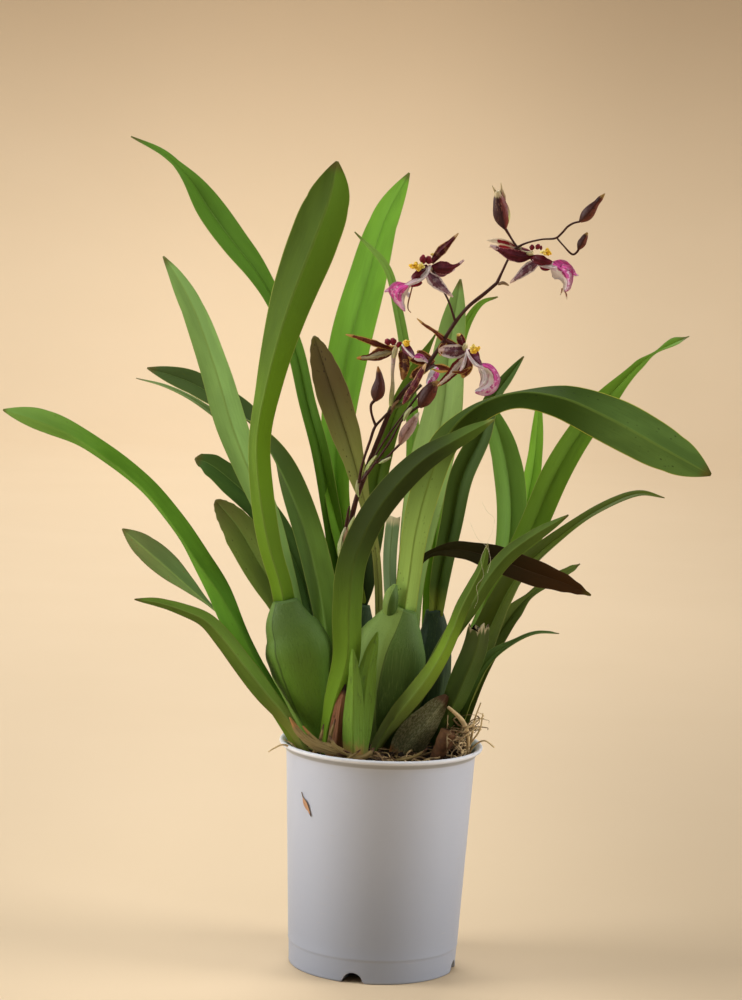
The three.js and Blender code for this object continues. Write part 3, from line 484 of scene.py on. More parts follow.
# %% The profile, from under the floor, up outside, over the lip and down inside
def pot_profile():
    h = POT_HEIGHT
    outside = [(0, 0.5), (BASE_RADIUS - 7, 0.5), (BASE_RADIUS - 5.5, 0), (BASE_RADIUS - 1.1, 0)]
    outside += [(BASE_RADIUS - 0.35, 0.3), (BASE_RADIUS - 0.03, 1.0)]
    outside += [(wall_radius(z) - 0.22, z) for z in np.linspace(1.8, FOOT_STEP - 0.45, 12)]
    outside += [(wall_radius(FOOT_STEP) + 0.02, FOOT_STEP), (wall_radius(FOOT_STEP) + 0.16, FOOT_STEP + 0.5)]
    outside += [(wall_radius(z), z) for z in np.linspace(FOOT_STEP + 1.1, h - 8.5, 16)]
    outside += [(WALL_TOP_RADIUS - 0.25, h - 7), (WALL_TOP_RADIUS + 0.25, h - 5.4)]
    outside += [(WALL_TOP_RADIUS + 1.1, h - 4.2), (WALL_TOP_RADIUS + 2.1, h - 3.3)]
    outside += [(LIP_RADIUS - 1.0, h - 2.7), (LIP_RADIUS - 0.35, h - 2.1), (LIP_RADIUS - 0.05, h - 1.4)]
    outside += [(LIP_RADIUS - 0.1, h - 0.7), (LIP_RADIUS - 0.6, h - 0.15), (LIP_RADIUS - 1.2, h)]
    outside += [(LIP_RADIUS - 2.0, h - 0.2), (LIP_RADIUS - 2.9, h - 0.9)]
    inside = [(WALL_TOP_RADIUS - 0.6, h - 2.6), (WALL_TOP_RADIUS - WALL - 0.1, h - 5.5)]
    inside += [(wall_radius(z) - WALL, z) for z in np.linspace(h - 9, FLOOR + 1.4, 14)]
    inside += [(BASE_RADIUS - WALL - 1.2, FLOOR), (0, FLOOR)]
    return np.array(outside + inside)


def notch_lift(angle, radius):
    """How high the foot is cut away at this place, from the height of the nearest notch."""
    turn = (np.degrees(angle) - FIRST_NOTCH) % (360 / NOTCHES)
    turn = np.minimum(turn, 360 / NOTCHES - turn)
    aside = np.radians(turn) * BASE_RADIUS
    inside = (np.abs(aside) < NOTCH_RADIUS) & (radius > 35)
    return np.where(inside, np.sqrt(np.maximum(NOTCH_RADIUS**2 - aside**2, 0)), 0)


def round_points(r, angle, z):
    """Points round the axis, at a radius and a height that may change with the angle."""
    return np.stack(np.broadcast_arrays(r * np.cos(angle), r * np.sin(angle), z), axis=-1)


def turned(profile, sides):
    """Points of a turned profile whose ends lie on the axis."""
    angle = np.linspace(0, 2 * math.pi, sides, endpoint=False)
    return round_points(profile[:, :1], angle, profile[:, 1:]), angle


def make_pot():
    profile = pot_profile()
    rings, angle = turned(profile, POT_SIDES)
    lift = notch_lift(angle, profile[:, :1])
    foot = (profile[:, 0] > BASE_RADIUS - 8) & (profile[:, 1] < NOTCH_RADIUS + 2)
    rings[foot, :, 2] = np.maximum(rings[foot, :, 2], lift[foot] + 0.05 * profile[foot, 1:])
    faces = ring_faces(len(rings) - 2, POT_SIDES, 1)
    last = 1 + (len(rings) - 2) * POT_SIDES
    for j in range(POT_SIDES):
        b = (j + 1) % POT_SIDES
        faces.append((0, 1 + b, 1 + j))
        faces.append((last, last - POT_SIDES + j, last - POT_SIDES + b))
    points = np.vstack([rings[0, :1], rings[1:-1].reshape(-1, 3), rings[-1, :1]])
    return new_mesh("pot_shell", points, faces)


# %% Pot finish: satin plastic with dust, scuffs, a faint mottle, and painted shade, shadow and highlight
def pot_finish():
    plastic = Finish("pale_pot_plastic", 0.42, 0.45)
    here = plastic.around()
    cloud = plastic.noise(here, 9.0, 3.0)
    dust = plastic.noise(here, 420.0, 2.0)
    scuffs = plastic.streaks(here, (60, 60, 900), 3.0, 0.6)
    specks = plastic.cells(here, 95.0)
    plastic.colour = plastic.mix((0.53, 0.575, 0.68), (0.50, 0.545, 0.65), cloud.rise(0.35, 0.7))
    height = plastic.node("ShaderNodeSeparateXYZ", None, {0: here}, out=2)
    # Painted shade: the wall darkens towards the foot.
    plastic.layer((0.29, 0.33, 0.42), height.rise(*WALL_SHADE) * 0.85)
    # Painted shadow: a dark line just under the lip.
    plastic.layer((0.17, 0.16, 0.12), abs(height - LIP_SHADOW).rise(0.0019, 0.0008) * 0.55)
    # Painted highlight: a pale band along the top of the rim.
    plastic.layer((0.82, 0.84, 0.88), height.rise(*LIP_HIGHLIGHT) * 0.75)
    plastic.layer((0.50, 0.48, 0.47), scuffs.rise(0.66, 0.74) * 0.35)
    plastic.layer((0.20, 0.15, 0.11), specks.rise(0.055, 0.03) * cloud.rise(0.58, 0.62))
    plastic.feed(Base_Color=plastic.colour, Roughness=0.36 + 0.16 * dust)
    plastic.bump(cloud * 0.6 + dust * 0.06, 0.25, 0.0006)
    return plastic


pot = seat(make_pot(), pot_finish(), "pot_plastic", "pot")
print("pot faces:", len(pot.data.polygons))
# %% [markdown]
# ## Bark, fibre and dust
#
# Orchids grow in broken bark with a little moss, not in soil. One lumpy body fills the pot, and
# loose chips and fibres lie on it. Each chip is a small squashed drum with its corners pushed
# about at random. Particles could scatter them, but plain meshes keep every chip where it is.

# %% The lumpy body of the mix
MIX_LEVEL = 124.0
MIX_RADIUS = 53.4
MIX_SIDES = 96


def mix_height(x, y):
    """Height of the mix surface: a low mound with lumps."""
    mound = 4.5 * np.exp(-((x - 2) ** 2 + (y + 6) ** 2) / 1500)
    mound = mound + 9.0 * np.exp(-((x - 43) ** 2 + (y + 4) ** 2) / 260)
    lumps = np.sin(x / 4.1 + 1.3) * np.cos(y / 5.3) + 0.8 * np.sin(y / 3.2 + x / 7.1)
    return MIX_LEVEL + mound + 0.9 * lumps


def make_mix():
    radii = [wall_radius(3) - WALL - 8, wall_radius(10) - WALL - 0.5, wall_radius(MIX_LEVEL) - WALL - 0.4]
    levels = [FLOOR + 0.3, 10, MIX_LEVEL - 3]
    angle = np.linspace(0, 2 * math.pi, MIX_SIDES, endpoint=False)
    rings = []
    for r, z in zip(radii, levels):
        rings.append(round_points(r, angle, z))
    for r in np.linspace(MIX_RADIUS, 2, 22):
        rings.append(round_points(r, angle, mix_height(r * np.cos(angle), r * np.sin(angle))))
    return Body().tint(np.array(rings), 0.0).piece("bark_mix")


# %% Chips
CHIP_CORNERS = 7
CHIP_RINGS = ((-0.5, 0.7), (-0.2, 1.0), (0.25, 0.95), (0.5, 0.6))  # height and width of each ring
CHIP_FIELD = 52.0  # how far out chips lie
CHIP_WALL = 52.6  # where their far ends stop


def chip_loops(rng, centre, size):
    """A small squashed drum with uneven corners."""
    angle = np.linspace(0, 2 * math.pi, CHIP_CORNERS, endpoint=False) + rng.uniform(0, 1)
    rings = []
    for height, width in CHIP_RINGS:
        reach = width * rng.uniform(0.72, 1.15, CHIP_CORNERS)
        rings.append(round_points(reach, angle, height) + rng.normal(0, 0.06, (CHIP_CORNERS, 3)))
    loops = np.array(rings) * size
    spin, tip, roll = rng.uniform(0, 2 * math.pi), rng.normal(0, 0.35), rng.normal(0, 0.35)
    for (i, j), turn in (((1, 2), tip), ((0, 2), roll), ((0, 1), spin)):
        a, b = loops[..., i].copy(), loops[..., j].copy()
        loops[..., i] = a * math.cos(turn) - b * math.sin(turn)
        loops[..., j] = a * math.sin(turn) + b * math.cos(turn)
    return loops + centre


def make_chips(count=520, seed=11):
    rng = np.random.default_rng(seed)
    chips = Body()
    for _ in range(count):
        r, angle = CHIP_FIELD * math.sqrt(rng.uniform(0, 1)), rng.uniform(0, 2 * math.pi)
        length = rng.uniform(2.2, 5.6) * (0.7 if r > 46 else 1)
        r = min(r, CHIP_WALL - length)
        x, y = r * math.cos(angle), r * math.sin(angle)
        size = np.array([length, length * rng.uniform(0.45, 0.8), rng.uniform(1.2, 3.0)])
        z = mix_height(x, y) + rng.uniform(0.2, 2.2)
        chips.tint(chip_loops(rng, np.array([x, y, z]), size), rng.uniform(0, 1))
    piece = chips.piece("bark_chips")
    piece.data.polygons.foreach_set("use_smooth", [False] * len(piece.data.polygons))
    return piece


# %% Fibres
FIBRE_FIELD = 50.0  # how far out fibres start
FIBRE_WALL = 51.5  # where they turn back


def fibre_spine(rng, x, y, length, lift):
    """A bent line that starts on the mix and wanders over it."""
    heading = rng.uniform(0, 2 * math.pi)
    spine = []
    for k in range(5):
        z = mix_height(x, y) + 1.2 + lift * math.sin(math.pi * k / 4) * rng.uniform(0.5, 1.2)
        spine.append([x, y, z])
        heading += rng.normal(0, 0.55)
        x += length / 4 * math.cos(heading)
        y += length / 4 * math.sin(heading)
        r = math.hypot(x, y)
        if r > FIBRE_WALL:
            x, y = x * FIBRE_WALL / r, y * FIBRE_WALL / r
            heading += 1.5
    return spine


def make_fibres(count=260, seed=23):
    rng = np.random.default_rng(seed)
    fibres = Body()
    for _ in range(count):
        r, angle = FIBRE_FIELD * math.sqrt(rng.uniform(0.1, 1)), rng.uniform(0, 2 * math.pi)
        x, y = r * math.cos(angle), r * math.sin(angle)
        spine = fibre_spine(rng, x, y, rng.uniform(12, 34), rng.uniform(0.5, 4.5))
        thick = rng.uniform(0.22, 0.55)
        radius = [thick, thick * 1.1, thick * 0.5]
        fibres.tint(rod_loops(spine, radius, 14, 6, flat=rng.uniform(0.4, 1))[0], rng.uniform(0, 1))
    return fibres.piece("dry_fibres")


# %% Finishes for bark and fibre
def bark_finish():
    bark = Finish("bark_brown", 0.85, 0.25)
    here, tone = bark.around(), bark.read("tone")
    grain = bark.streaks(here, (260, 900, 900), 4.0, 0.65)
    cloud = bark.noise(here, 110.0, 3.0)
    share = tone * 0.7 + cloud.rise(0.4, 0.7) * 0.3
    bark.colour = bark.mix((0.012, 0.008, 0.005), (0.085, 0.045, 0.022), share)
    bark.layer((0.19, 0.12, 0.065), grain.rise(0.6, 0.8) * tone)
    bark.feed(Base_Color=bark.colour)
    bark.bump(grain + cloud * 0.5, 0.8, 0.0012)
    return bark


def fibre_finish():
    straw = Finish("dry_straw", 0.7, 0.3)
    tone = straw.read("tone")
    cloud = straw.noise(straw.around(), 160.0, 2.0)
    straw.colour = straw.mix((0.12, 0.06, 0.022), (0.62, 0.44, 0.20), tone)
    straw.layer((0.05, 0.03, 0.015), cloud.rise(0.55, 0.75) * 0.7)
    straw.feed(Base_Color=straw.colour)
    straw.bump(cloud, 0.4, 0.0004)
    return straw


bark, straw = bark_finish(), fibre_finish()
seat(make_mix(), bark, "potting_mix", "potting_mix")
chips = seat(make_chips(), bark, "potting_mix")
fibres = seat(make_fibres(), straw, "root")
print("chip faces:", len(chips.data.polygons), "fibre faces:", len(fibres.data.polygons))
# %% [markdown]
# ## Bulbs
#
# The swollen stems of this orchid are flattened eggs that store water. Their skin is waxy, with
# fine lines from end to end and a few sharp ridges where the bulb has shrunk a little. They are
# thick rods with ridges raised on the section, so the ridges catch the light as real ones do.

# %% Bulbs: centre line, radius at even steps, and how flat
SEAT = 119  # depth that stalks reach down into the mix

BULBS = {
    "bulb_left": ([[-37, -7, SEAT], [-38, -7, 135], [-41, -6, 150], [-45, -6, 164], [-48, -6, 175],
        [-50, -6, 184], [-53.5, -6, 195], [-57, -6, 203], [-60, -6, 216]],
        [3.5, 4.8, 7.6, 12, 14.4, 16, 17.6, 18.8, 16.2, 12.5, 7.2], 0.58),
    "bulb_centre": ([[3, -4, SEAT], [2.5, -4, 140], [2, -4, 160], [2, -4, 178], [3, -4, 191], [6, -4, 203],
        [9, -4, 214]], [4, 7, 11, 14.5, 17.5, 19.4, 20.4, 20.6, 18.8, 14, 8.3], 0.56),
    "bulb_right": ([[25, 16, 119], [26, 16, 145], [28, 15, 175], [29, 15, 198], [28, 14, 211]],
        [8, 11.5, 12, 10.5, 5], 0.7),
    "bulb_back": ([[-14, 32, 119], [-15, 32, 145], [-16, 31, 175], [-16, 30, 197], [-15, 30, 210]],
        [8, 13, 14, 12, 5], 0.62),
}

# Each ridge: angle round the bulb, 90 being the side that faces the front, height and width.
RIDGES = {
    "bulb_left": [(137, 0.9, 5), (0, 1.4, 12), (180, 1.2, 12), (60, 0.25, 5), (95, 0.2, 6)],
    "bulb_centre": [(104, 1.5, 5), (138, 0.9, 7), (0, 1.3, 12), (180, 1.2, 12), (62, 0.3, 5)],
    "bulb_right": [(120, 0.8, 7), (60, 0.6, 7), (180, 0.8, 12)],
    "bulb_back": [(-100, 0.9, 7), (-50, 0.6, 7), (0, 0.9, 12), (180, 0.9, 12)],
}


# %% Bulb finish: blue-green above, fresher below, brown where the sheaths sat, painted lit facet and shade line
def bulb_finish(name, above, below, pale=0.0, painted_facet_line=None, lit=(0.33, 0.49, 0.11)):
    wax = Finish(name, 0.5, 0.2)
    strap, share = wax.read("strap", out=1), wax.read("along")
    lines = wax.streaks(strap, (1.5, 0.035, 1.5), 3.0, 0.6)
    fine = wax.streaks(strap, (5.0, 0.08, 5.0), 2.0)
    cloud = wax.noise(wax.around(), 45.0, 3.0)
    wax.colour = wax.mix(below, above, share.rise(0.45, 0.95))
    # Painted light and shade: the facet on one side of this line is painted lit, and a painted shade line
    # runs along it.
    if painted_facet_line:
        beside = wax.read("across") - (painted_facet_line[0] + painted_facet_line[1] * share + 0.05 * cloud)
        wax.layer(lit, beside.rise(0.06, -0.04) * 0.65)
        wax.layer((0.025, 0.05, 0.01), abs(beside).rise(0.035, 0.005) * 0.6)
    wax.layer((0.22, 0.33, 0.09), lines.rise(0.5, 0.75) * (0.22 + pale))
    wax.layer((0.04, 0.075, 0.018), lines.rise(0.45, 0.25) * 0.4)
    wax.layer((0.02, 0.035, 0.012), cloud.rise(0.62, 0.75) * 0.25)
    wax.layer((0.16, 0.085, 0.03), share.rise(0.2, 0.04) * fine.rise(0.3, 0.6))
    wax.feed(Base_Color=wax.colour, Roughness=0.34 + 0.22 * cloud)
    wax.bump(lines * 0.8 + fine * 0.25, 0.5, 0.0008)
    return wax


bulb_waxes = {
    "bulb_left": bulb_finish("bulb_left_wax", (0.1, 0.18, 0.04), (0.145, 0.3, 0.026), 0.0, (-0.62, -0.12),
        (0.15, 0.27, 0.04)),
    "bulb_centre": bulb_finish("bulb_centre_wax", (0.118, 0.212, 0.047), (0.06, 0.12, 0.016), 0.12,
        (-0.62, 0.7)),
    "bulb_right": bulb_finish("bulb_right_wax", (0.035, 0.065, 0.035), (0.045, 0.08, 0.028)),
    "bulb_back": bulb_finish("bulb_back_wax", (0.05, 0.09, 0.04), (0.07, 0.13, 0.03)),
}

# %% Shape the bulbs
# The eye at the front of the middle bulb: centre line and radius.
EYE = ([[2.4, -5, 208], [1.8, -7, 216], [2.6, -7, 223], [4.4, -6, 228]], [3.4, 4.4, 4.5, 3.8, 1.2])

for name, (spine, radius, flat) in BULBS.items():
    body = Body().add(*rod_loops(spine, radius, 64, 72, RIDGES[name], flat=flat))
    if name == "bulb_centre":
        body.add(*rod_loops(*EYE, 16, 20))
    seat(body.piece(name + "_skin"), bulb_waxes[name], "bulb_skin", name)
print("bulbs:", len(BULBS))
# %% [markdown]
# ## Leaves
#
# Every leaf is a folded strap that grew from a sheath or from the top of a bulb. The table gives
# each leaf's centre line, its half widths, the turn of its face and the angle of its fold, which is
# negative where the leaf shows its back. Values lie at even steps along the leaf, unless they
# come in pairs: then the first of the pair is the share of the length.

# %% Leaves: centre line, half widths, turn and fold
LEAVES = {
    "leaf_left_long_arch": ([[-39, -21, SEAT], [-48, -20, 136], [-59, -18, 155], [-72, -14, 175],
        [-86, -10, 199], [-98, -6, 218], [-112, -3, 236], [-127, 2, 256], [-143, 7, 274], [-158, 12, 286],
        [-174, 17, 296], [-191, 23, 305], [-211, 28, 312], [-233, 34, 317]],
        [5, 6.5, 8, 8.6, 8.4, 8.4, 8.4, 8, 7.8, 7.6, 7.6, 0.6], [[0, 30], [0.28, 38], [0.54, -40],
        [0.78, -36], [1, -10]], [-46, -40, -36, -34, -32, -28, -20, -10]),
    "leaf_front_centre": ([[-33, -20, SEAT], [-32, -21, 140], [-29, -23, 157], [-22, -28, 186],
        [-22, -34, 216], [-20, -42, 246], [-8, -53, 277], [14, -66, 306], [37, -77, 323], [54, -86, 334]],
        [4, 5.5, 8.5, 9.6, 10, 9.6, 9, 8.5, 7.5, 5, 0.5], [-10, 0, 10, 15, 10, 0, -10, -20],
        [-40, -36, -30, -28, -25, -22, -20, -20]),
    "leaf_front_tall": ([[-60, -6, 213], [-63, -9, 226], [-70, -14, 248], [-76, -20, 277], [-79, -28, 311],
        [-74, -35, 346], [-64, -43, 387], [-50, -50, 428], [-42, -54, 453], [-39, -57, 472]],
        [7.6, 7.6, 8.4, 8.4, 8.2, 8.8, 10.2, 12.2, 14.2, 15.2, 13, 0.8], [0, -5, -15, -20, -10, 0, 5, 10],
        [-34, -34, -36, -34, -30, -26, -22, -18]),
    "leaf_right_arch": ([[10, -4, 211], [12, -6, 232], [15, -11, 262], [22, -17, 294], [31, -23, 319],
        [46, -28, 335.5], [68, -34, 345], [93, -40, 344], [121, -49, 334], [149, -60, 320.5],
        [177, -73, 307]], [8.5, 8, 8.5, 9.5, 9.5, 9.4, 9.6, 11.2, 13.6, 14, 11.2, 0.8],
        [0, 0, 5, 0, -40, -60, -30, -12, -5, 0], [-36, -30, -24, -28, -36, -30, -20, -14, -12, -12]),
    "leaf_right_front": ([[-7, -15, SEAT], [-1, -18, 137], [8, -23, 153], [17, -27, 166], [26, -30, 180],
        [33, -34, 194], [38.5, -38, 209], [42.5, -43, 222], [48, -47, 235], [52.5, -52, 247],
        [55, -57, 261]], [3, 5, 7, 7, 5.8, 5, 4.6, 3.2, 0.5], [0, -8, -12], [-44, -40, -34, -24]),
    "leaf_right_front_long": ([[10, -11, SEAT], [15, -13, 147], [25, -17, 175], [37, -21, 201],
        [48.5, -23, 220], [57.5, -26, 237], [67.5, -29, 251], [80, -32, 262], [101, -38, 277]],
        [4, 4, 4.6, 5, 5.2, 5.4, 4.4, 0.5], [10, 0, -15, -30], [-46, -36, -26, -20]),
    "leaf_cut_right": ([[26, -7, SEAT], [34.5, -13, 141], [37, -16, 151], [42, -20, 163.5], [47, -22, 178],
        [51.5, -24, 191], [53.4, -25, 199], [54, -26, 206]], [4, 4.6, 6.4, 8.2, 9, 8.6, 7.6], [0, 10],
        [-40, -30]),
    "leaf_brown": ([[12, 13, SEAT], [11, 13, 160], [11, 12, 200], [13, 8, 229], [22, 0, 245], [38, -5, 250],
        [59, -9, 247], [82, -12, 240], [103, -14, 234], [118, -16, 228]], [[0, 2.5], [0.5, 2], [0.57, 2.2],
        [0.66, 5.4], [0.75, 8], [0.85, 7.9], [0.92, 5.8], [0.96, 3.6], [0.99, 1.2], [1, 0.5]],
        [0, 0, -10, -10, 0], [30, 30, 20, 14, 12]),
    "leaf_right_upright": ([[29, 14, 208], [31, 15, 232], [36, 15, 262], [41, 15, 291], [52, 16, 317],
        [57, 16, 337], [66, 17, 351], [74, 18, 363]], [5, 7, 7.5, 8, 8, 6.5, 4.5, 0.5], [0, -10, -30],
        [36, 30, 24]),
    "leaf_left_low": ([[-38, -22, SEAT], [-53, -23, 146], [-68, -26, 164], [-82, -29, 181], [-93, -33, 195],
        [-104, -38, 207], [-116, -43, 213], [-131, -49, 218], [-144, -54, 220]],
        [3, 3.6, 6, 7.5, 7, 6, 4.5, 3, 0.4], [20, 20, 10, 0, 0], [-44, -38, -34, -24, -16]),
    "leaf_left_brown": ([[-48, 6, SEAT], [-56, 9, 142], [-74, 14, 174], [-91, 20, 195], [-105, 25, 206],
        [-132, 36, 226], [-161, 48, 247]], [3, 3, 3, 2.6, 2, 1.5, 1.4, 5, 8.4, 7.6, 0.5], [150, 160, 175],
        [50, 30, 14]),
    "leaf_left_upright": ([[-44, 10, SEAT], [-47, 12, 150], [-52, 13, 190], [-61, 14, 226], [-72, 15, 261],
        [-85, 17, 289], [-96, 19, 315], [-107, 23, 347], [-121, 28, 381], [-132, 32, 400], [-141, 36, 412]],
        [4, 6, 6.5, 7, 7.5, 8.6, 10, 9, 7, 0.6], [160, 170, 180, 190, 200], [40, 34, 26, 20, 16]),
    "leaf_dark_long": ([[-28, 1, SEAT], [-30, 4, 150], [-34, 9, 189], [-41, 17, 223], [-53, 28, 260],
        [-70, 40, 293], [-85, 48, 313], [-103, 55, 325], [-122, 62, 335], [-138, 66, 340], [-151, 70, 343]],
        [5, 9, 10.5, 10.5, 10.5, 10.4, 10, 9.6, 8, 0.5], [150, 150, 165, 150, 40, 10],
        [46, 36, 30, 30, 26, 20]),
    "leaf_brown_green": ([[-6, 12, SEAT], [-5, 14, 150], [-4, 17, 194], [-8, 20, 244], [-17, 23, 277],
        [-27, 26, 308], [-39, 29, 340], [-50, 32, 369]], [[0, 3], [0.5, 2.6], [0.6, 3.6], [0.68, 6.4],
        [0.78, 9.4], [0.86, 10.2], [0.9, 9.3], [0.94, 7.5], [0.97, 5.2], [0.99, 2.8], [1, 0.6]], [0, 0, 0],
        [44, 26, 14]),
    "leaf_dark_round": ([[-34, 15, SEAT], [-37, 18, 152], [-42, 24, 194], [-54, 32, 230], [-73, 40, 259],
        [-92, 45, 276], [-111, 49, 289], [-119, 51, 291]], [[0, 4], [0.5, 6.5], [0.7, 8.6], [0.86, 8.8],
        [0.94, 7.2], [0.985, 4], [1, 0.6]], [0, 0, 10], [36, 20, 12]),
    "leaf_olive": ([[-47, 20, SEAT], [-49, 22, 155], [-53, 25, 189], [-63, 28, 212], [-77, 31, 232],
        [-91, 35, 253], [-105, 39, 268]], [[0, 3], [0.3, 5], [0.48, 8.5], [0.66, 11], [0.84, 11], [0.9, 9],
        [0.94, 7.2], [0.97, 5], [0.99, 2.8], [1, 0.6]], [0, 0, 0], [30, 16, 8]),
    "leaf_light_thin": ([[-44, 28, SEAT], [-50, 30, 154], [-57, 37, 198], [-70, 46, 240], [-86, 56, 279],
        [-100, 65, 308], [-119, 73, 322], [-140, 81, 331], [-159, 89, 335]],
        [3, 4, 4.5, 5, 5, 5, 3.6, 2.4, 0.5], [0, 0, 40, 70], [40, 26, 20]),
    "leaf_back_left": ([[-32, 26, SEAT], [-31, 29, 160], [-30, 35, 209], [-32, 40, 244], [-37, 45, 270],
        [-44, 50, 300], [-53, 57, 328], [-62, 64, 359], [-75, 73, 385], [-88, 80, 404], [-103, 88, 421],
        [-118, 97, 439], [-133, 105, 459], [-148, 113, 472], [-170, 123, 482]],
        [5, 6, 6.5, 6.5, 6.4, 6, 5.6, 5.6, 5.8, 9, 9.4, 2.6, 0.5], [0, 0, 0, 20, 30], [36, 30, 26, 20, 16]),
    "leaf_behind_spike": ([[-18, 31, 203], [-16, 32, 215], [-11.5, 33, 252], [-8, 33, 291], [0, 33, 324],
        [10, 34, 349], [23, 35, 375]], [[0, 5], [0.12, 8], [0.3, 8.5], [0.5, 6.5], [0.7, 5.5], [0.85, 4],
        [1, 0.5]], [0], [30, 18]),
    "cut_leaf_stump": ([[3, 0, 204], [1.5, 4, 222], [0.5, 8, 243], [1.5, 10, 265]], [3.5, 4.8, 5.2, 5.2],
        [0], [-44, -38]),
    "leaf_behind_flowers": ([[14, 30, SEAT], [14, 32, 160], [13, 36, 204], [16, 39, 249], [22, 43, 291],
        [29, 48, 328], [31, 54, 363], [34, 59, 388], [36, 63, 405]], [5, 7, 8, 9, 12, 13.5, 11.5, 8.5, 0.6],
        [0, 0, -10], [36, 22, 12]),
    "leaf_right_blade": ([[36, 26, SEAT], [41, 28, 150], [53, 31, 189], [68, 37, 230], [72, 44, 263],
        [68, 52, 297], [55, 63, 335]], [4, 6, 7.5, 8.5, 9.8, 9, 0.6], [0, 10, 10], [36, 24, 16]),
    "leaf_right_low": ([[36, 2, SEAT], [40, 3, 142], [51, 4, 174], [62, 7, 204], [77, 9, 235],
        [101, 10, 259], [123, 13, 275], [146, 16, 285], [161, 18, 283]],
        [4, 7, 9, 9.5, 8.2, 6.2, 4.0, 3.4, 0.4], [-20, -20, -44, -56, -50], [30, 24, 24, 20, 20]),
    "leaf_right_far": ([[38, 14, SEAT], [43, 15, 145], [55, 17, 186], [70, 22, 229], [84, 26, 261],
        [98, 31, 296], [114, 37, 323], [134, 43, 348], [153, 48, 366], [174, 52, 377]], [[0, 4], [0.2, 6.5],
        [0.4, 8.6], [0.6, 9], [0.75, 8], [0.88, 3.4], [0.925, 1], [0.97, 4], [1, 0.5]],
        [0, 0, 0, 0, -10, -60], [36, 26, 20, 18, 20, 20]),
    "leaf_right_thin_upright": ([[46, 23, SEAT], [49, 26, 149], [58, 34, 193], [72, 44, 235], [81, 56, 268],
        [86, 67, 299], [88, 83, 337]], [3, 4, 5, 7, 6.5, 4.5, 0.6], [0], [34, 22, 16]),
    "leaf_right_hidden": ([[45, 8, SEAT], [47, 9, 142], [56, 14, 173], [69, 18, 201], [86, 23, 222],
        [114, 30, 240]], [[0, 3], [0.3, 5.4], [0.55, 6.4], [0.66, 5.4], [0.76, 2.2], [0.88, 3.2],
        [0.96, 2.2], [1, 0.4]], [0, -20], [32, 20]),
    "leaf_right_small": ([[38, -5, SEAT], [43, -6, 142], [50, -8, 165], [61, -12, 187], [74, -16, 198],
        [87, -20, 205], [100, -24, 206]], [[0, 3], [0.3, 6], [0.6, 4.6], [0.8, 2], [0.95, 1.4], [1, 0.4]],
        [-20, -40, -70], [36, 26, 20]),
    "leaf_back_thin": ([[6, 38, SEAT], [6, 41, 169], [9, 44, 219], [12, 49, 272], [11, 55, 316],
        [6, 61, 353], [-1, 69, 385], [-9, 77, 410], [-29, 87, 430]],
        [3, 3.6, 4, 4.5, 4.5, 4, 3.5, 2.6, 0.4], [0, 0, 20], [30, 20, 16]),
    "leaf_back_broad": ([[-15, 31, 207], [-25, 37, 239], [-33, 49, 277], [-34, 63, 317], [-29, 80, 362],
        [-21, 97, 398], [-11, 118, 438], [3, 135, 467]], [5, 7, 9, 11.5, 13.4, 12.4, 9, 0.6], [0],
        [34, 22, 14]),
    "leaf_twisted_tip": ([[26, 40, SEAT], [26, 44, 169], [27, 54, 223], [31, 77, 300], [36, 95, 348],
        [42, 106, 375], [51, 112, 389], [61, 117, 393]], [3, 4, 5, 6, 6, 4.4, 3.6, 0.5], [0, -10, -25],
        [30, 20, 16]),
}

print("leaves:", len(LEAVES))
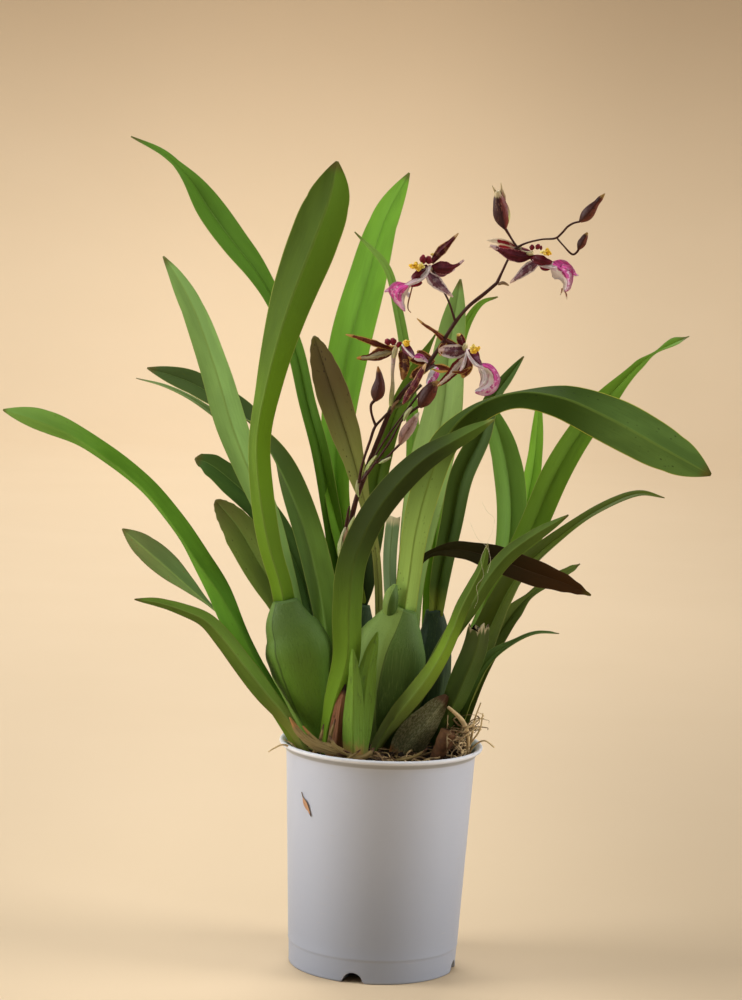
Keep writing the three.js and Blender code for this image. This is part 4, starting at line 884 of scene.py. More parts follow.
# %% [markdown]
# ## Leaf finish
#
# A strap leaf is not one green. Fine veins run its whole length, the midrib is a pale or dark line, the
# margin is a thin yellow edge, and the foot bleaches where the sheath hid it. The upper side is glossier
# and darker than the back. One function builds all of this from a few tones, and older leaves add spots,
# brown patches or a dry tip. Painted light and shade are added too: one half of a fold painted lighter
# or darker, and a stretch of a green leaf painted darker or lighter.

# %% Leaf finish
def leaf_finish(name, face, back=None, foot=(0.30, 0.38, 0.05), foot_reach=0.12, tip=(0.12, 0.10, 0.02),
                tip_reach=0.015, spots=0.0, spot=(0.07, 0.025, 0.012), rib=(0.26, 0.40, 0.09), rib_share=0.4,
                edge=(0.32, 0.36, 0.07), edge_share=0.6, gloss=0.46, shine=0.15, painted_half_light=None, patch_and_painted_light=None):
    """`painted_half_light`: (share, tone), painted fold light on one half; `patch_and_painted_light`:
    (share, tone, from, to).
    """
    leaf = Finish(name, gloss, shine)
    back = back or tuple(1.1 * part + more for part, more in zip(face, (0.010, 0.012, 0.006)))
    strap, share = leaf.read("strap", out=1), leaf.read("along")
    across = leaf.read("across")
    lie = abs(across)
    veins = leaf.streaks(strap, (2.6, 0.012, 0.0), 3.0, 0.7)
    hair = leaf.streaks(strap, (9.0, 0.03, 0.0), 1.0)
    cloud = leaf.streaks(strap, (0.10, 0.02, 0.2), 3.0, 0.55)
    upper = leaf.node("ShaderNodeSeparateXYZ", None, {0: strap}, out=2).rise(-0.5, 0.5)
    leaf.colour = leaf.mix(back, face, upper)
    leaf.layer(scaled(face, 0.7), cloud.rise(0.6, 0.35) * 0.5)
    leaf.layer(scaled(face, 0.55), veins.rise(0.5, 0.24) * 0.3)
    leaf.layer(scaled(back, 1.25), veins.rise(0.56, 0.8) * 0.3)
    # Painted light and shade of the fold: one half of the leaf painted lighter on some leaves, darker on
    # others.
    if painted_half_light:
        amount, tone = painted_half_light
        half = across.rise(-0.03, 0.03) if amount > 0 else across.rise(0.03, -0.03)
        leaf.layer(tone, half * abs(amount) * share.rise(0.12, 0.3))
    # A stretch along the leaf: painted shade and light on the green leaves, a brown patch on the brown ones.
    if patch_and_painted_light:
        amount, tone, start, end = patch_and_painted_light
        shade = (share + 0.12 * cloud).rise(start - 0.1, start + 0.16) * share.rise(end + 0.08, end - 0.08)
        leaf.layer(tone, shade * amount)
    leaf.layer(foot, share.rise(foot_reach, foot_reach * 0.15) * (0.6 + 0.5 * veins))
    if spots:
        freckles = leaf.cells(leaf.stretch(strap, (0.42, 0.26, 1.0)), 1.0)
        leaf.layer(spot, freckles.rise(0.24, 0.1) * cloud.rise(0.42, 0.62) * spots)
    leaf.layer(rib, lie.rise(0.07, 0.02) * rib_share)
    leaf.layer(edge, lie.rise(0.955, 0.99) * edge_share)
    leaf.layer(tip, share.rise(1 - 2 * tip_reach, 1 - 0.4 * tip_reach) * 0.85)
    leaf.feed(Base_Color=leaf.colour, Roughness=gloss + 0.14 * cloud + (1 - upper) * 0.12)
    leaf.bump(veins * 0.7 + hair * 0.22, 0.42, 0.0006)
    return leaf


# %% The tones of each leaf
# painted_half_light paints fold light and shade on one half; patch_and_painted_light paints shade and light
# along green leaves and a brown patch on brown ones.
LEAF_TONES = {
    "leaf_left_long_arch": dict(face=(0.09, 0.24, 0.013), shine=0.08, foot=(0.26, 0.27, 0.04),
        foot_reach=0.16, spots=0.2, rib_share=0.1, edge=(0.22, 0.3, 0.05), patch_and_painted_light=(0.8, (0.23, 0.42, 0.09),
        0.9, 2.0), tip_reach=0.006),
    "leaf_front_centre": dict(face=(0.075, 0.145, 0.009), foot=(0.18, 0.34, 0.016), foot_reach=0.55,
        rib_share=0.1, patch_and_painted_light=(0.9, (0.028, 0.045, 0.006), 0.5, 0.9), tip=(0.22, 0.26, 0.06),
        edge=(0.2, 0.24, 0.04)),
    "leaf_front_tall": dict(face=(0.105, 0.195, 0.012), foot=(0.14, 0.27, 0.01), foot_reach=0.42,
        rib=(0.24, 0.38, 0.07), rib_share=0.4, edge_share=0.9, patch_and_painted_light=(0.4, (0.045, 0.08, 0.01), 0.62, 2.0),
        painted_half_light=(0.85, (0.17, 0.36, 0.012))),
    "leaf_right_arch": dict(face=(0.105, 0.19, 0.036), shine=0.05, foot=(0.43, 0.64, 0.14), foot_reach=0.46,
        rib=(0.2, 0.3, 0.05), rib_share=0.45, edge_share=0.95, spots=0.6, spot=(0.02, 0.025, 0.01),
        edge=(0.44, 0.44, 0.05), patch_and_painted_light=(0.9, (0.038, 0.072, 0.006), 0.28, 0.74)),
    "leaf_right_front": dict(face=(0.21, 0.39, 0.012), foot=(0.11, 0.12, 0.035), foot_reach=0.8, spots=0.35,
        spot=(0.12, 0.05, 0.02), edge=(0.16, 0.07, 0.025), patch_and_painted_light=(0.8, (0.05, 0.085, 0.012), 0.66, 2.0)),
    "leaf_right_front_long": dict(face=(0.085, 0.145, 0.014), spots=0.2, rib_share=0.2),
    "leaf_cut_right": dict(face=(0.05, 0.085, 0.01), tip=(0.46, 0.38, 0.22), tip_reach=0.02,
        back=(0.05, 0.09, 0.01), foot=(0.05, 0.04, 0.015), rib_share=0.1, patch_and_painted_light=(0.35, (0.07, 0.065, 0.02),
        0.86, 2.0), edge=(0.12, 0.2, 0.03)),
    "leaf_brown": dict(face=(0.013, 0.006, 0.0015), shine=0.06, foot=(0.05, 0.055, 0.013), foot_reach=1.0,
        back=(0.022, 0.011, 0.002), gloss=0.55, patch_and_painted_light=(0.5, (0.11, 0.048, 0.014), 0.86, 2.0),
        rib=(0.1, 0.06, 0.03), edge=(0.12, 0.07, 0.03)),
    "leaf_right_upright": dict(face=(0.075, 0.14, 0.018), painted_half_light=(0.5, (0.045, 0.085, 0.012))),
    "leaf_left_low": dict(face=(0.13, 0.24, 0.022), spots=0.35, tip_reach=0.02, edge=(0.28, 0.1, 0.03),
        painted_half_light=(-0.4, (0.06, 0.1, 0.015)), foot=(0.24, 0.25, 0.05), foot_reach=0.4),
    "leaf_left_brown": dict(face=(0.12, 0.21, 0.055), spots=0.7, spot=(0.22, 0.09, 0.025), patch_and_painted_light=(0.18,
        (0.26, 0.13, 0.04), 0.86, 2.0), edge=(0.28, 0.12, 0.05)),
    "leaf_left_upright": dict(face=(0.28, 0.48, 0.12), painted_half_light=(0.3, (0.08, 0.16, 0.03)), rib_share=0.6),
    "leaf_dark_long": dict(face=(0.15, 0.27, 0.035), edge_share=0.9, painted_half_light=(0.75, (0.055, 0.11, 0.016)),
        rib_share=0.3, foot=(0.15, 0.29, 0.02), foot_reach=0.45, patch_and_painted_light=(0.85, (0.055, 0.09, 0.02), 0.6,
        2.0)),
    "leaf_brown_green": dict(face=(0.28, 0.31, 0.07), spots=0.9, spot=(0.045, 0.025, 0.012), patch_and_painted_light=(0.88,
        (0.1, 0.06, 0.022), 0.8, 2.0), rib=(0.04, 0.035, 0.012), edge=(0.34, 0.28, 0.08)),
    "leaf_dark_round": dict(face=(0.08, 0.165, 0.03), painted_half_light=(0.4, (0.05, 0.09, 0.015))),
    "leaf_olive": dict(face=(0.18, 0.26, 0.045), spots=0.5, spot=(0.03, 0.02, 0.01), patch_and_painted_light=(0.6,
        (0.09, 0.05, 0.02), 0.92, 2.0)),
    "leaf_light_thin": dict(face=(0.14, 0.22, 0.04)),
    "leaf_back_left": dict(face=(0.1, 0.235, 0.014), foot=(0.1, 0.2, 0.02), rib_share=0.3),
    "leaf_behind_spike": dict(face=(0.11, 0.2, 0.012), foot=(0.018, 0.034, 0.012), foot_reach=0.6),
    "leaf_behind_flowers": dict(face=(0.44, 0.66, 0.19), rib_share=0.3, spots=0.2, spot=(0.1, 0.14, 0.04),
        patch_and_painted_light=(0.7, (0.12, 0.22, 0.03), 0.84, 2.0)),
    "leaf_right_blade": dict(face=(0.18, 0.35, 0.045), painted_half_light=(0.4, (0.1, 0.19, 0.02))),
    "leaf_right_low": dict(face=(0.1, 0.14, 0.01), spots=0.2, edge=(0.2, 0.22, 0.05)),
    "leaf_right_far": dict(face=(0.145, 0.29, 0.018), edge_share=0.75, rib_share=0.15),
    "leaf_right_thin_upright": dict(face=(0.23, 0.47, 0.03)),
    "leaf_right_hidden": dict(face=(0.14, 0.2, 0.035), foot=(0.075, 0.12, 0.02), foot_reach=0.95,
        edge=(0.16, 0.08, 0.03)),
    "leaf_right_small": dict(face=(0.07, 0.13, 0.015)),
    "leaf_back_thin": dict(face=(0.2, 0.36, 0.05)),
    "leaf_back_broad": dict(face=(0.215, 0.48, 0.035), rib=(0.25, 0.5, 0.06), rib_share=0.6),
    "leaf_twisted_tip": dict(face=(0.15, 0.29, 0.016)),
    "cut_leaf_stump": dict(face=(0.16, 0.24, 0.1), tip=(0.58, 0.5, 0.28), tip_reach=0.045, spots=0.3,
        rib_share=0.1),
}
# How far the cut ends of leaves are torn, in millimetres.
TORN = {"cut_leaf_stump": 1.6, "leaf_cut_right": 5.0}
LEAF_SLOTS = {entry["node"]: entry["material_slot"] for entry in frame["record"]["subparts"]}

# %% Shape the leaves
for number, (name, shape) in enumerate(LEAVES.items()):
    finish = leaf_finish(name + "_green", **LEAF_TONES[name])
    length = walk(shape[0], [1.0])[2][0]
    blade = blade_loops(*shape, int(40 + length / 5), seed=number * 7 + 3, torn=TORN.get(name, 0.0))
    seat(Body().add(*blade).piece(name + "_blade"), finish, LEAF_SLOTS[name], name)
print("leaves dressed:", len(LEAVES))
# %% [markdown]
# ## The new shoot and the sheaths
#
# A young shoot stands in front, two folded sheaths that open in a V. Beside it a dry brown
# sheath wraps the older shoot, and on the right a papery one shows a net of veins.

# %% Shoots and sheaths: centre line, half widths, turn and fold
SHOOTS = {
    "new_shoot_sheath": ([[-16, -32, SEAT], [-16, -32, 132], [-17, -32, 149], [-17.5, -32, 170],
        [-19, -32, 193]], [6, 7.6, 7.4, 6.2, 3.6, 0.5], [0, 0, -10, -20], [-40, -36, -32, -24]),
    "new_shoot_leaf": ([[-13, -27, SEAT], [-12, -27, 140], [-11, -27, 163], [-9, -27, 184], [-5, -27, 203]],
        [4, 5.5, 6.8, 6.8, 4.6, 0.5], [0, 0, 20], [-30, -25, -22]),
    "dry_sheath_front": ([[-27, -25, SEAT], [-26, -25, 140], [-25, -25, 155], [-22.5, -24, 171]],
        [5, 5.5, 4, 0.5], [0], [-20]),
    "papery_sheath": ([[9, -20, 123], [17, -20, 138], [27, -20, 152], [37, -19, 166]], [6, 10, 10, 7, 1.5],
        [0, 10], [-18]),
}


# %% Sheath finish: streaked and blotched, or netted like parchment
def sheath_finish(name, face, dark, pale, net=0.0, foot=(0.35, 0.16, 0.04), foot_reach=0.2, fray=None):
    sheath = Finish(name, 0.6, 0.35)
    strap, share = sheath.read("strap", out=1), sheath.read("along")
    streaks = sheath.streaks(strap, (1.8, 0.05, 0.0), 4.0, 0.7)
    blots = sheath.streaks(strap, (0.25, 0.12, 0.2), 3.0, 0.6)
    sheath.colour = sheath.mix(face, dark, streaks.rise(0.5, 0.3) * 0.8)
    sheath.layer(pale, streaks.rise(0.55, 0.75) * 0.8)
    sheath.layer(dark, blots.rise(0.58, 0.7) * 0.8)
    height = streaks + blots * 0.4
    if net:
        web = sheath.cells(sheath.stretch(strap, (1.5, 0.7, 1.0)), 1.0)
        sheath.layer(pale, web.rise(0.45, 0.7) * net)
        height = height + web * 0.4
    sheath.layer(foot, (share + (blots - 0.5) * 0.3).rise(foot_reach, foot_reach * 0.4))
    if fray:
        sheath.layer(fray, (share + (streaks - 0.5) * 0.2).rise(0.86, 0.94))
    sheath.feed(Base_Color=sheath.colour, Roughness=0.5 + 0.25 * blots)
    sheath.bump(height, 0.6, 0.0008)
    return sheath


young = {"face": (0.14, 0.27, 0.014), "dark": (0.09, 0.16, 0.012), "pale": (0.20, 0.34, 0.035)}
SHOOT_LOOKS = {
    "new_shoot_sheath": (sheath_finish("young_sheath_green", **young, foot=(0.36, 0.2, 0.05),
        foot_reach=0.3), "leaf_green", 0.3),
    "new_shoot_leaf": (sheath_finish("young_leaf_green", **young, foot=(0.24, 0.24, 0.05), foot_reach=0.25),
        "leaf_green", 0.3),
    "dry_sheath_front": (sheath_finish("dry_sheath_brown", (0.28, 0.115, 0.045), (0.06, 0.02, 0.008),
        (0.34, 0.17, 0.07), fray=(0.03, 0.012, 0.006)), "dry_sheath", 0.5),
    "papery_sheath": (sheath_finish("papery_sheath_net", (0.13, 0.14, 0.055), (0.05, 0.042, 0.016),
        (0.32, 0.31, 0.17), net=0.55, fray=(0.12, 0.06, 0.03)), "dry_sheath", 0.6),
}

# %% Husks: what is left of old sheaths, wrapped round the feet of the leaves
HUSKS = [
    ([[-54, -26, 150.5], [-48, -30, 142.5], [-40, -34, 137], [-31, -37, 134.5], [-21, -39, 132]],
     [0.5, 1.8, 2.6, 2.8, 2.0, 0.4], [0, -20], [-16]),
    ([[-46, -28, 146], [-41, -31, 141], [-35, -34, 137], [-27, -37, 136], [-19, -39, 134]],
     [0.4, 1.2, 1.8, 1.6, 0.4], [0, -20], [-16]),
    ([[-30, -30, 127], [-30, -30, 140], [-27.5, -29, 150]], [2.6, 2.2, 1.2, 0.3], [0, 0], [-24]),
    ([[-12, -37, 127], [-19, -39, 132], [-26, -38, 136], [-30, -36, 142]], [2.0, 2.2, 1.5, 0.4], [0, 0],
     [-24]),
    ([[-20, -38, 126], [-14, -39, 130], [-8, -37, 132], [-4, -34, 136]], [2.4, 2.4, 1.6, 0.4], [0, 0],
     [-24]),
    ([[-40, -28, 128], [-36, -30, 137], [-34, -30, 147]], [1.4, 1.4, 1.0, 0.3], [0, 0], [-24]),
    ([[4, -30, 127], [12, -31, 129], [20, -28, 131], [26, -27, 135]], [1.2, 1.5, 1.0, 0.3], [0, 0], [-20]),
    ([[-24, -40, 126], [-18, -41, 131], [-13, -40, 135]], [1.4, 1.4, 0.9, 0.3], [0, 0], [-20]),
]
husk = sheath_finish("husk_tan", (0.24, 0.165, 0.05), (0.07, 0.025, 0.010), (0.40, 0.33, 0.10),
                     fray=(0.09, 0.035, 0.012))
husks = Body()
for number, shape in enumerate(HUSKS):
    husks.add(*blade_loops(*shape, 50, seed=400 + number, waves=0.7, thick=0.7, ragged=0.16, torn=1.5))
seat(husks.piece("old_husks"), husk, "dry_sheath")

# %% A scrap of dry sheath that stuck to the pot, flat against its wall
SCRAP = ([[-45.1, -31.9, 107.9], [-43.9, -33.3, 104.4], [-42.5, -34.9, 101.9], [-40.7, -36.7, 98.8],
    [-39.0, -38.3, 95.4]], [0.3, 0.4, 1.7, 1.8, 0.8, 0.25], [50], [6])
scrap = sheath_finish("scrap_tan", (0.50, 0.28, 0.15), (0.33, 0.16, 0.08), (0.66, 0.45, 0.30),
                      foot=(0.20, 0.15, 0.11), foot_reach=0.32, fray=(0.10, 0.06, 0.05))
scrap_blade = blade_loops(*SCRAP, 40, seed=407, waves=0.2, thick=0.5, ragged=0.16, torn=0.5)
seat(Body().add(*scrap_blade).piece("pot_scrap"), scrap, "dry_sheath")
print("scrap on the pot:", len(SCRAP[0]), "points")

# %% Shape the shoot and the sheaths
for number, (name, shape) in enumerate(SHOOTS.items()):
    finish, slot_name, waves = SHOOT_LOOKS[name]
    sheath_blade = blade_loops(*shape, 60, seed=300 + number, waves=waves, thick=0.9)
    seat(Body().add(*sheath_blade).piece(name + "_skin"), finish, slot_name, name)
print("shoots and sheaths:", len(SHOOTS))
# %% [markdown]
# ## Flower spike
#
# One maroon stem rises from beside the left bulb and forks again and again. A few thin branches
# run close beside it, and each joint is wrapped in a small dry or green bract. The rods are
# stepped slightly, because a real stem swells at its joints.

# %% Stem strokes: finish, centre line, radius at even steps
STEMS = [
    ("stem", [[-25, -8, SEAT], [-27, -9, 160], [-28, -9, 200], [-25.7, -9, 227.5], [-26, -9, 241.6],
     [-25.1, -9, 254.6], [-22.7, -11, 267.8], [-20.3, -14.2, 279.4], [-17.2, -17.3, 289.2],
     [-14.2, -20, 300.1], [-9, -24.1, 315.2], [-3.4, -29.1, 330.8], [4.6, -33.8, 344.2], [12.2, -37, 352.7],
     [18.5, -40.7, 362.4], [23.7, -43.8, 371.3], [28.4, -46.3, 380.1], [33.6, -48.8, 388.4],
     [38.9, -51, 394.9], [46.4, -52.4, 401.5], [53.3, -53.9, 408]],
     [1.9, 1.9, 1.8, 1.55, 1.45, 1.4, 1.3, 1.1, 1.0]),
    ("stem", [[53.3, -53.9, 408], [56.3, -55.5, 415.5], [59.2, -57, 422.4], [62.8, -59.5, 428.2]],
     [0.95, 0.7, 0.7, 0.75]),
    ("stem", [[62.8, -59.5, 428.2], [67.7, -60, 430.9], [76.5, -60, 433.5], [84.8, -60, 434.7],
     [87.9, -61, 437.6], [91, -62, 441.4], [94.2, -63, 443.5], [97.5, -63.5, 444.4]],
     [0.7, 0.55, 0.55, 0.6, 0.6, 0.6]),
    ("stem", [[85.3, -60, 434.7], [88.9, -59, 430.9], [94.8, -58, 425.9], [97, -58.3, 427.4],
     [98, -58.7, 429.4]], [0.5, 0.45, 0.6, 0.75]),
    ("stem", [[63.3, -59.5, 428.7], [61.2, -60, 431.5], [57.9, -60.6, 436.3], [55.8, -61, 439.3]],
     [0.7, 0.6, 0.7, 0.9]),
    ("stem", [[-19.4, -18.4, 288.1], [-18.6, -20.5, 295.9], [-16.9, -22.4, 303.7], [-14.1, -25.1, 313.3],
     [-11.6, -27.5, 321.7], [-7.8, -29.1, 326.6], [-2.9, -31, 332.2]], [0.9, 0.8, 0.8, 0.8, 0.7]),
    ("stem", [[-11.3, -28.8, 322.7], [-13.3, -30.5, 327.7], [-14.4, -32.2, 332.4], [-14.2, -33.2, 335.3],
     [-12.5, -33.9, 337.4]], [0.8, 0.7, 0.75, 1.0]),
    ("stem", [[-16.7, -20.9, 291.9], [-11.4, -23.7, 303.5], [-6.6, -26.2, 312.6], [-1.8, -28.5, 320.5],
     [4.6, -31.6, 330.3], [11, -35, 340], [15.3, -37.2, 346]], [0.8, 0.6, 0.6, 0.7]),
    ("stem", [[-17.8, -21.8, 289.7], [-11.8, -24, 298.9], [-7.5, -25.7, 305.6], [-2.1, -28.3, 314.7],
     [3.1, -31.5, 325.6], [8.6, -33.6, 331.7], [13.5, -34.9, 335.8]], [0.9, 0.7, 0.7, 0.6, 0.8]),
    ("stem", [[-10.1, -25, 300.8], [-5.1, -25.6, 303.4], [-0.1, -27, 308.9], [3.4, -28.2, 312.9]],
     [0.7, 0.6, 0.8]),
    ("stem_green", [[-0.7, -31.1, 334], [2.7, -31.7, 335.9], [6.6, -32.5, 338.4], [9.8, -34.3, 343.3],
     [13.6, -35.9, 347.6]], [1.1, 0.9, 1.0, 1.0]),
    ("pedicel", [[-3, -31, 335], [-2.9, -33.5, 340.4], [-2.6, -36, 346.3], [-3, -38, 354.4],
     [-2.8, -38.5, 360.2], [-2.7, -38.5, 364.2]], [1.2, 1.4, 1.2, 0.95, 1.1, 1.3]),
    ("stem", [[31.2, -48, 384.9], [26.4, -50.5, 397.2], [20.9, -51.5, 406.5], [17.2, -52, 413.7]],
     [0.7, 0.6, 0.7]),
    ("stem", [[21.7, -42.5, 367.2], [28.5, -41.5, 366.8], [35.9, -40.5, 367.7]], [0.8, 0.9]),
    ("stem", [[12.7, -38, 354], [17.1, -35, 356.8], [20.5, -31, 359]], [0.8, 0.9]),
    ("stem", [[62.8, -59.5, 428.2], [64, -58, 427.1], [65.8, -57, 426]], [0.8, 0.9]),
    ("stem", [[-26.4, -11, 258.9], [-25.5, -13, 265.6], [-25, -14, 271], [-24.4, -14.5, 274]],
     [0.9, 0.9, 0.8, 0.5]),
]

# %% Bracts: finish, centre line, half widths, turn and fold
STEM_BRACTS = [
    ("bract_pale", [[-28, -11, 240.6], [-28.6, -12.5, 249], [-27.5, -13, 257.3], [-26.2, -13, 261.5]],
     [1.1, 2.0, 2.1, 1.2, 0.4], 0, -30),
    ("bract_tan", [[-26.3, -13, 249.2], [-25.7, -14.5, 255.8], [-24.5, -15, 261.8]], [0.8, 1.5, 1.3, 0.4],
     0, -20),
    ("bract_green", [[-25, -13, 253.3], [-23.6, -15.5, 261.3], [-21.3, -16.5, 268.5]], [0.9, 1.6, 1.4, 0.3],
     0, -30),
    ("bract_green", [[-16.7, -20.5, 291.9], [-14.3, -23, 297.5], [-10, -26, 305.2]], [1.3, 2.0, 1.9, 0.5],
     0, -40),
    ("bract_pale", [[-19.4, -15.5, 279.6], [-20.6, -18, 285.1], [-20.4, -19.5, 289.9]],
     [0.5, 1.0, 0.9, 0.3], 0, -20),
    ("bract_pale", [[-8.4, -28, 300.9], [-5.6, -29.5, 302.6], [-1.7, -30.5, 305.1]], [0.4, 0.9, 0.8, 0.3],
     0, -20),
    ("bract_pale", [[4.8, -33, 326.4], [6.3, -35, 330.9], [9.3, -36, 335.1]], [0.6, 1.4, 1.3, 0.4], 0, -30),
    ("bract_tan", [[53.9, -55, 407.2], [56.6, -56.5, 408.3], [60, -57, 407]], [0.7, 1.1, 0.9, 0.3], 0, -30),
    ("bract_tan", [[-3.3, -30, 329.8], [-1.3, -33, 335.3], [1.4, -34.5, 338.4]], [0.6, 1.1, 1.0, 0.3], 0,
     -30),
    ("bract_pale", [[-28.1, -11, 241.8], [-28.9, -11.5, 233.6], [-29.8, -12, 225.1]],
     [0.5, 0.45, 0.35, 0.2], 0, 0),
]


# %% Stem and bract finishes
def stem_finish(name, low, high, fleck, fleck_share=0.4, gloss=0.38):
    """A stem colour that changes with height along the stroke, with flecks."""
    stem = Finish(name, gloss, 0.3)
    strap, share = stem.read("strap", out=1), stem.read("along")
    streaks = stem.streaks(strap, (1.6, 0.16, 1.6), 3.0, 0.6)
    spots = stem.noise(stem.around(), 700.0, 2.0)
    stem.colour = stem.mix(low, high, share)
    stem.layer(fleck, streaks.rise(0.52, 0.72) * fleck_share)
    stem.layer(scaled(low, 0.4), spots.rise(0.6, 0.7) * 0.5)
    stem.feed(Base_Color=stem.colour, Roughness=gloss + 0.15 * streaks)
    stem.bump(streaks, 0.4, 0.0003)
    return stem


stem_finishes = {
    "stem": stem_finish("stem_maroon", (0.055, 0.01, 0.005), (0.045, 0.008, 0.004), (0.17, 0.05, 0.022)),
    "stem_green": stem_finish("stem_olive", (0.16, 0.2, 0.05), (0.09, 0.07, 0.03), (0.06, 0.015, 0.01)),
    "pedicel": stem_finish("flower_stalk_pale", (0.5, 0.62, 0.22), (0.58, 0.4, 0.42), (0.3, 0.14, 0.16)),
    "bract_pale": stem_finish("bract_pale_green", (0.38, 0.51, 0.17), (0.52, 0.5, 0.3), (0.28, 0.2, 0.1)),
    "bract_green": stem_finish("bract_yellow_green", (0.32, 0.46, 0.085), (0.42, 0.45, 0.18),
        (0.2, 0.22, 0.06)),
    "bract_tan": stem_finish("bract_dry_tan", (0.2, 0.11, 0.05), (0.34, 0.22, 0.11), (0.06, 0.025, 0.012),
        0.6),
}


# %% Shape the spike
def finish_bodies(strokes, finishes, node, slot_name, start=""):
    """One piece for each finish among the strokes of one node."""
    bodies = {}
    for key, loops, values in strokes:
        bodies.setdefault(key, Body()).add(loops, values)
    for key, body in bodies.items():
        seat(body.piece(f"{node}_{start}{key}"), finishes[key], slot_name, node)


def petal_loops(stroke, seed, **shape):
    """Blade sections for one (finish, line, half widths, turn, fold) entry."""
    spine, half, turn, fold = stroke[1:]
    return blade_loops(spine, half, [turn], [fold], 34, seed, **shape)


stems = []
for key, spine, radius in STEMS:
    stems.append((key, *rod_loops(spine, radius, 14 * len(spine), 16, stepped=0.07)))
finish_bodies(stems, stem_finishes, "flower_spike", "spike_stem")
LOW_BRACTS = 3  # the first strokes wrap the low joint, the fourth the middle one
bracts = [(b[0], *petal_loops(b, 40 + k, waves=0.12, thick=0.5)) for k, b in enumerate(STEM_BRACTS)]
low = bracts[:LOW_BRACTS] + bracts[-1:]
finish_bodies(low, stem_finishes, "spike_bract_low", "dry_sheath")
finish_bodies(bracts[LOW_BRACTS:LOW_BRACTS + 1], stem_finishes, "spike_bract_middle", "leaf_green")
finish_bodies(bracts[LOW_BRACTS + 1:-1], stem_finishes, "flower_spike", "spike_stem", "wrap_")
print("stem strokes:", len(STEMS), "bracts:", len(STEM_BRACTS))
# %% [markdown]
# ## Buds
#
# A bud is wrapped in three sepals that meet along raised seams. It is a rod with three ridges,
# narrow at the stalk and drawn out at the tip, where the sepals of the oldest bud already part.

# %% Bud table: centre line, radius at even steps, and the finish
BUDS = {
    "bud_top": ("red", [[56.1, -61, 438.8], [54.3, -62.5, 444.6], [52.9, -64, 450.1], [51.5, -65.5, 455.5],
        [50.7, -66.5, 459.4]], [1.1, 3.4, 4.6, 4.5, 3.7, 2.8, 1.6]),
    "bud_right_outer": ("dark", [[97.5, -63.5, 444.4], [101.1, -64.5, 448.5], [104.1, -66, 452.8],
        [107.1, -67, 456.8], [110.2, -68, 460.6]], [0.9, 2.9, 3.3, 2.6, 1.6, 1.4, 0.3]),
    "bud_right_inner": ("dark", [[97.7, -58.7, 428.8], [99.4, -59.5, 432.8], [101.1, -60.5, 436.5],
        [102.1, -61, 438.5]], [0.7, 1.9, 2.3, 1.9, 1.5, 0.5]),
    "bud_left": ("violet", [[-12.2, -34, 337.3], [-10.8, -36, 343.1], [-10.2, -38, 349.6],
        [-11.4, -40, 357.4]], [1.2, 3.5, 3.9, 3.2, 2.2, 1.5, 0.4]),
    "bud_middle": ("dark", [[13.3, -36, 335], [16.9, -38, 341.3], [19.8, -39.5, 346.4], [23, -40.5, 350.6]],
        [1.2, 3.6, 4.2, 4.1, 2.9, 0.8]),
    "bud_low": ("mauve", [[3.1, -31.5, 312.9], [5.7, -33.5, 319], [8.9, -35, 324.4], [13.1, -36.5, 331.9]],
        [1.0, 2.7, 3.3, 3.0, 1.9, 0.5]),
}
BUD_TIPS = {
    "bud_top": [[[51.8, -65, 455], [49.6, -66.5, 458.8], [47.5, -67.5, 462.3]], [[52.6, -66, 455.6],
        [52.9, -67, 460], [52.3, -68, 464.2]], [[54.1, -64, 454], [54.5, -65, 457.3], [53.7, -66, 460.1]]],
}
SEAMS = [(20, 0.32, 13), (95, 0.42, 9), (160, 0.3, 12), (270, 0.35, 12)]


# %% Bud finish: dark below, redder to one side, pale at the tip and on one seam
def bud_finish(name, dark, side, rim, tip, seam):
    bud = Finish(name, 0.45, 0.3)
    strap, share, lie = bud.read("strap", out=1), bud.read("along"), bud.read("across")
    streaks = bud.streaks(strap, (1.1, 0.10, 1.1), 4.0, 0.65)
    blots = bud.noise(bud.around(), 420.0, 2.0)
    bud.colour = bud.mix(dark, side, (lie + streaks * 0.9 - 0.45).rise(-0.1, 0.5))
    bud.layer(seam, streaks.rise(0.55, 0.72) * share.rise(0.1, 0.5) * 0.7)
    bud.layer(rim, (lie + streaks * 0.5).rise(1.0, 1.12) * share.rise(0.62, 0.3))
    bud.layer(scaled(dark, 0.35), blots.rise(0.58, 0.68) * 0.6)
    bud.layer(tip, (share + (streaks - 0.5) * 0.35).rise(0.8, 0.95))
    bud.feed(Base_Color=bud.colour, Roughness=0.3 + 0.2 * streaks)
    bud.bump(streaks, 0.5, 0.0005)
    return bud


bud_finishes = {
    "red": bud_finish("bud_red", (0.045, 0.008, 0.012), (0.2, 0.03, 0.022), (0.55, 0.55, 0.2),
        (0.62, 0.5, 0.28), (0.38, 0.22, 0.12)),
    "dark": bud_finish("bud_dark", (0.05, 0.008, 0.005), (0.15, 0.03, 0.014), (0.16, 0.05, 0.025),
        (0.38, 0.22, 0.06), (0.12, 0.05, 0.05)),
    "violet": bud_finish("bud_violet", (0.055, 0.012, 0.01), (0.1, 0.02, 0.01), (0.17, 0.07, 0.04),
        (0.36, 0.17, 0.04), (0.16, 0.09, 0.1)),
    "mauve": bud_finish("bud_mauve", (0.26, 0.13, 0.1), (0.45, 0.3, 0.27), (0.6, 0.52, 0.34),
        (0.6, 0.55, 0.36), (0.62, 0.46, 0.42)),
}

# %% Shape the buds
for name, (key, spine, radius) in BUDS.items():
    body = Body().add(*rod_loops(spine, radius, 40, 36, SEAMS, flat=0.85))
    for tip in BUD_TIPS.get(name, []):
        loops, values = rod_loops(tip, [1.5, 1.1, 0.6, 0.2], 14, 12, flat=0.6)
        values["along"] = 0.8 + 0.2 * values["along"]
        body.add(loops, values)
    seat(body.piece(name + "_sepals"), bud_finishes[key], "bud_skin", name)
print("buds:", len(BUDS))
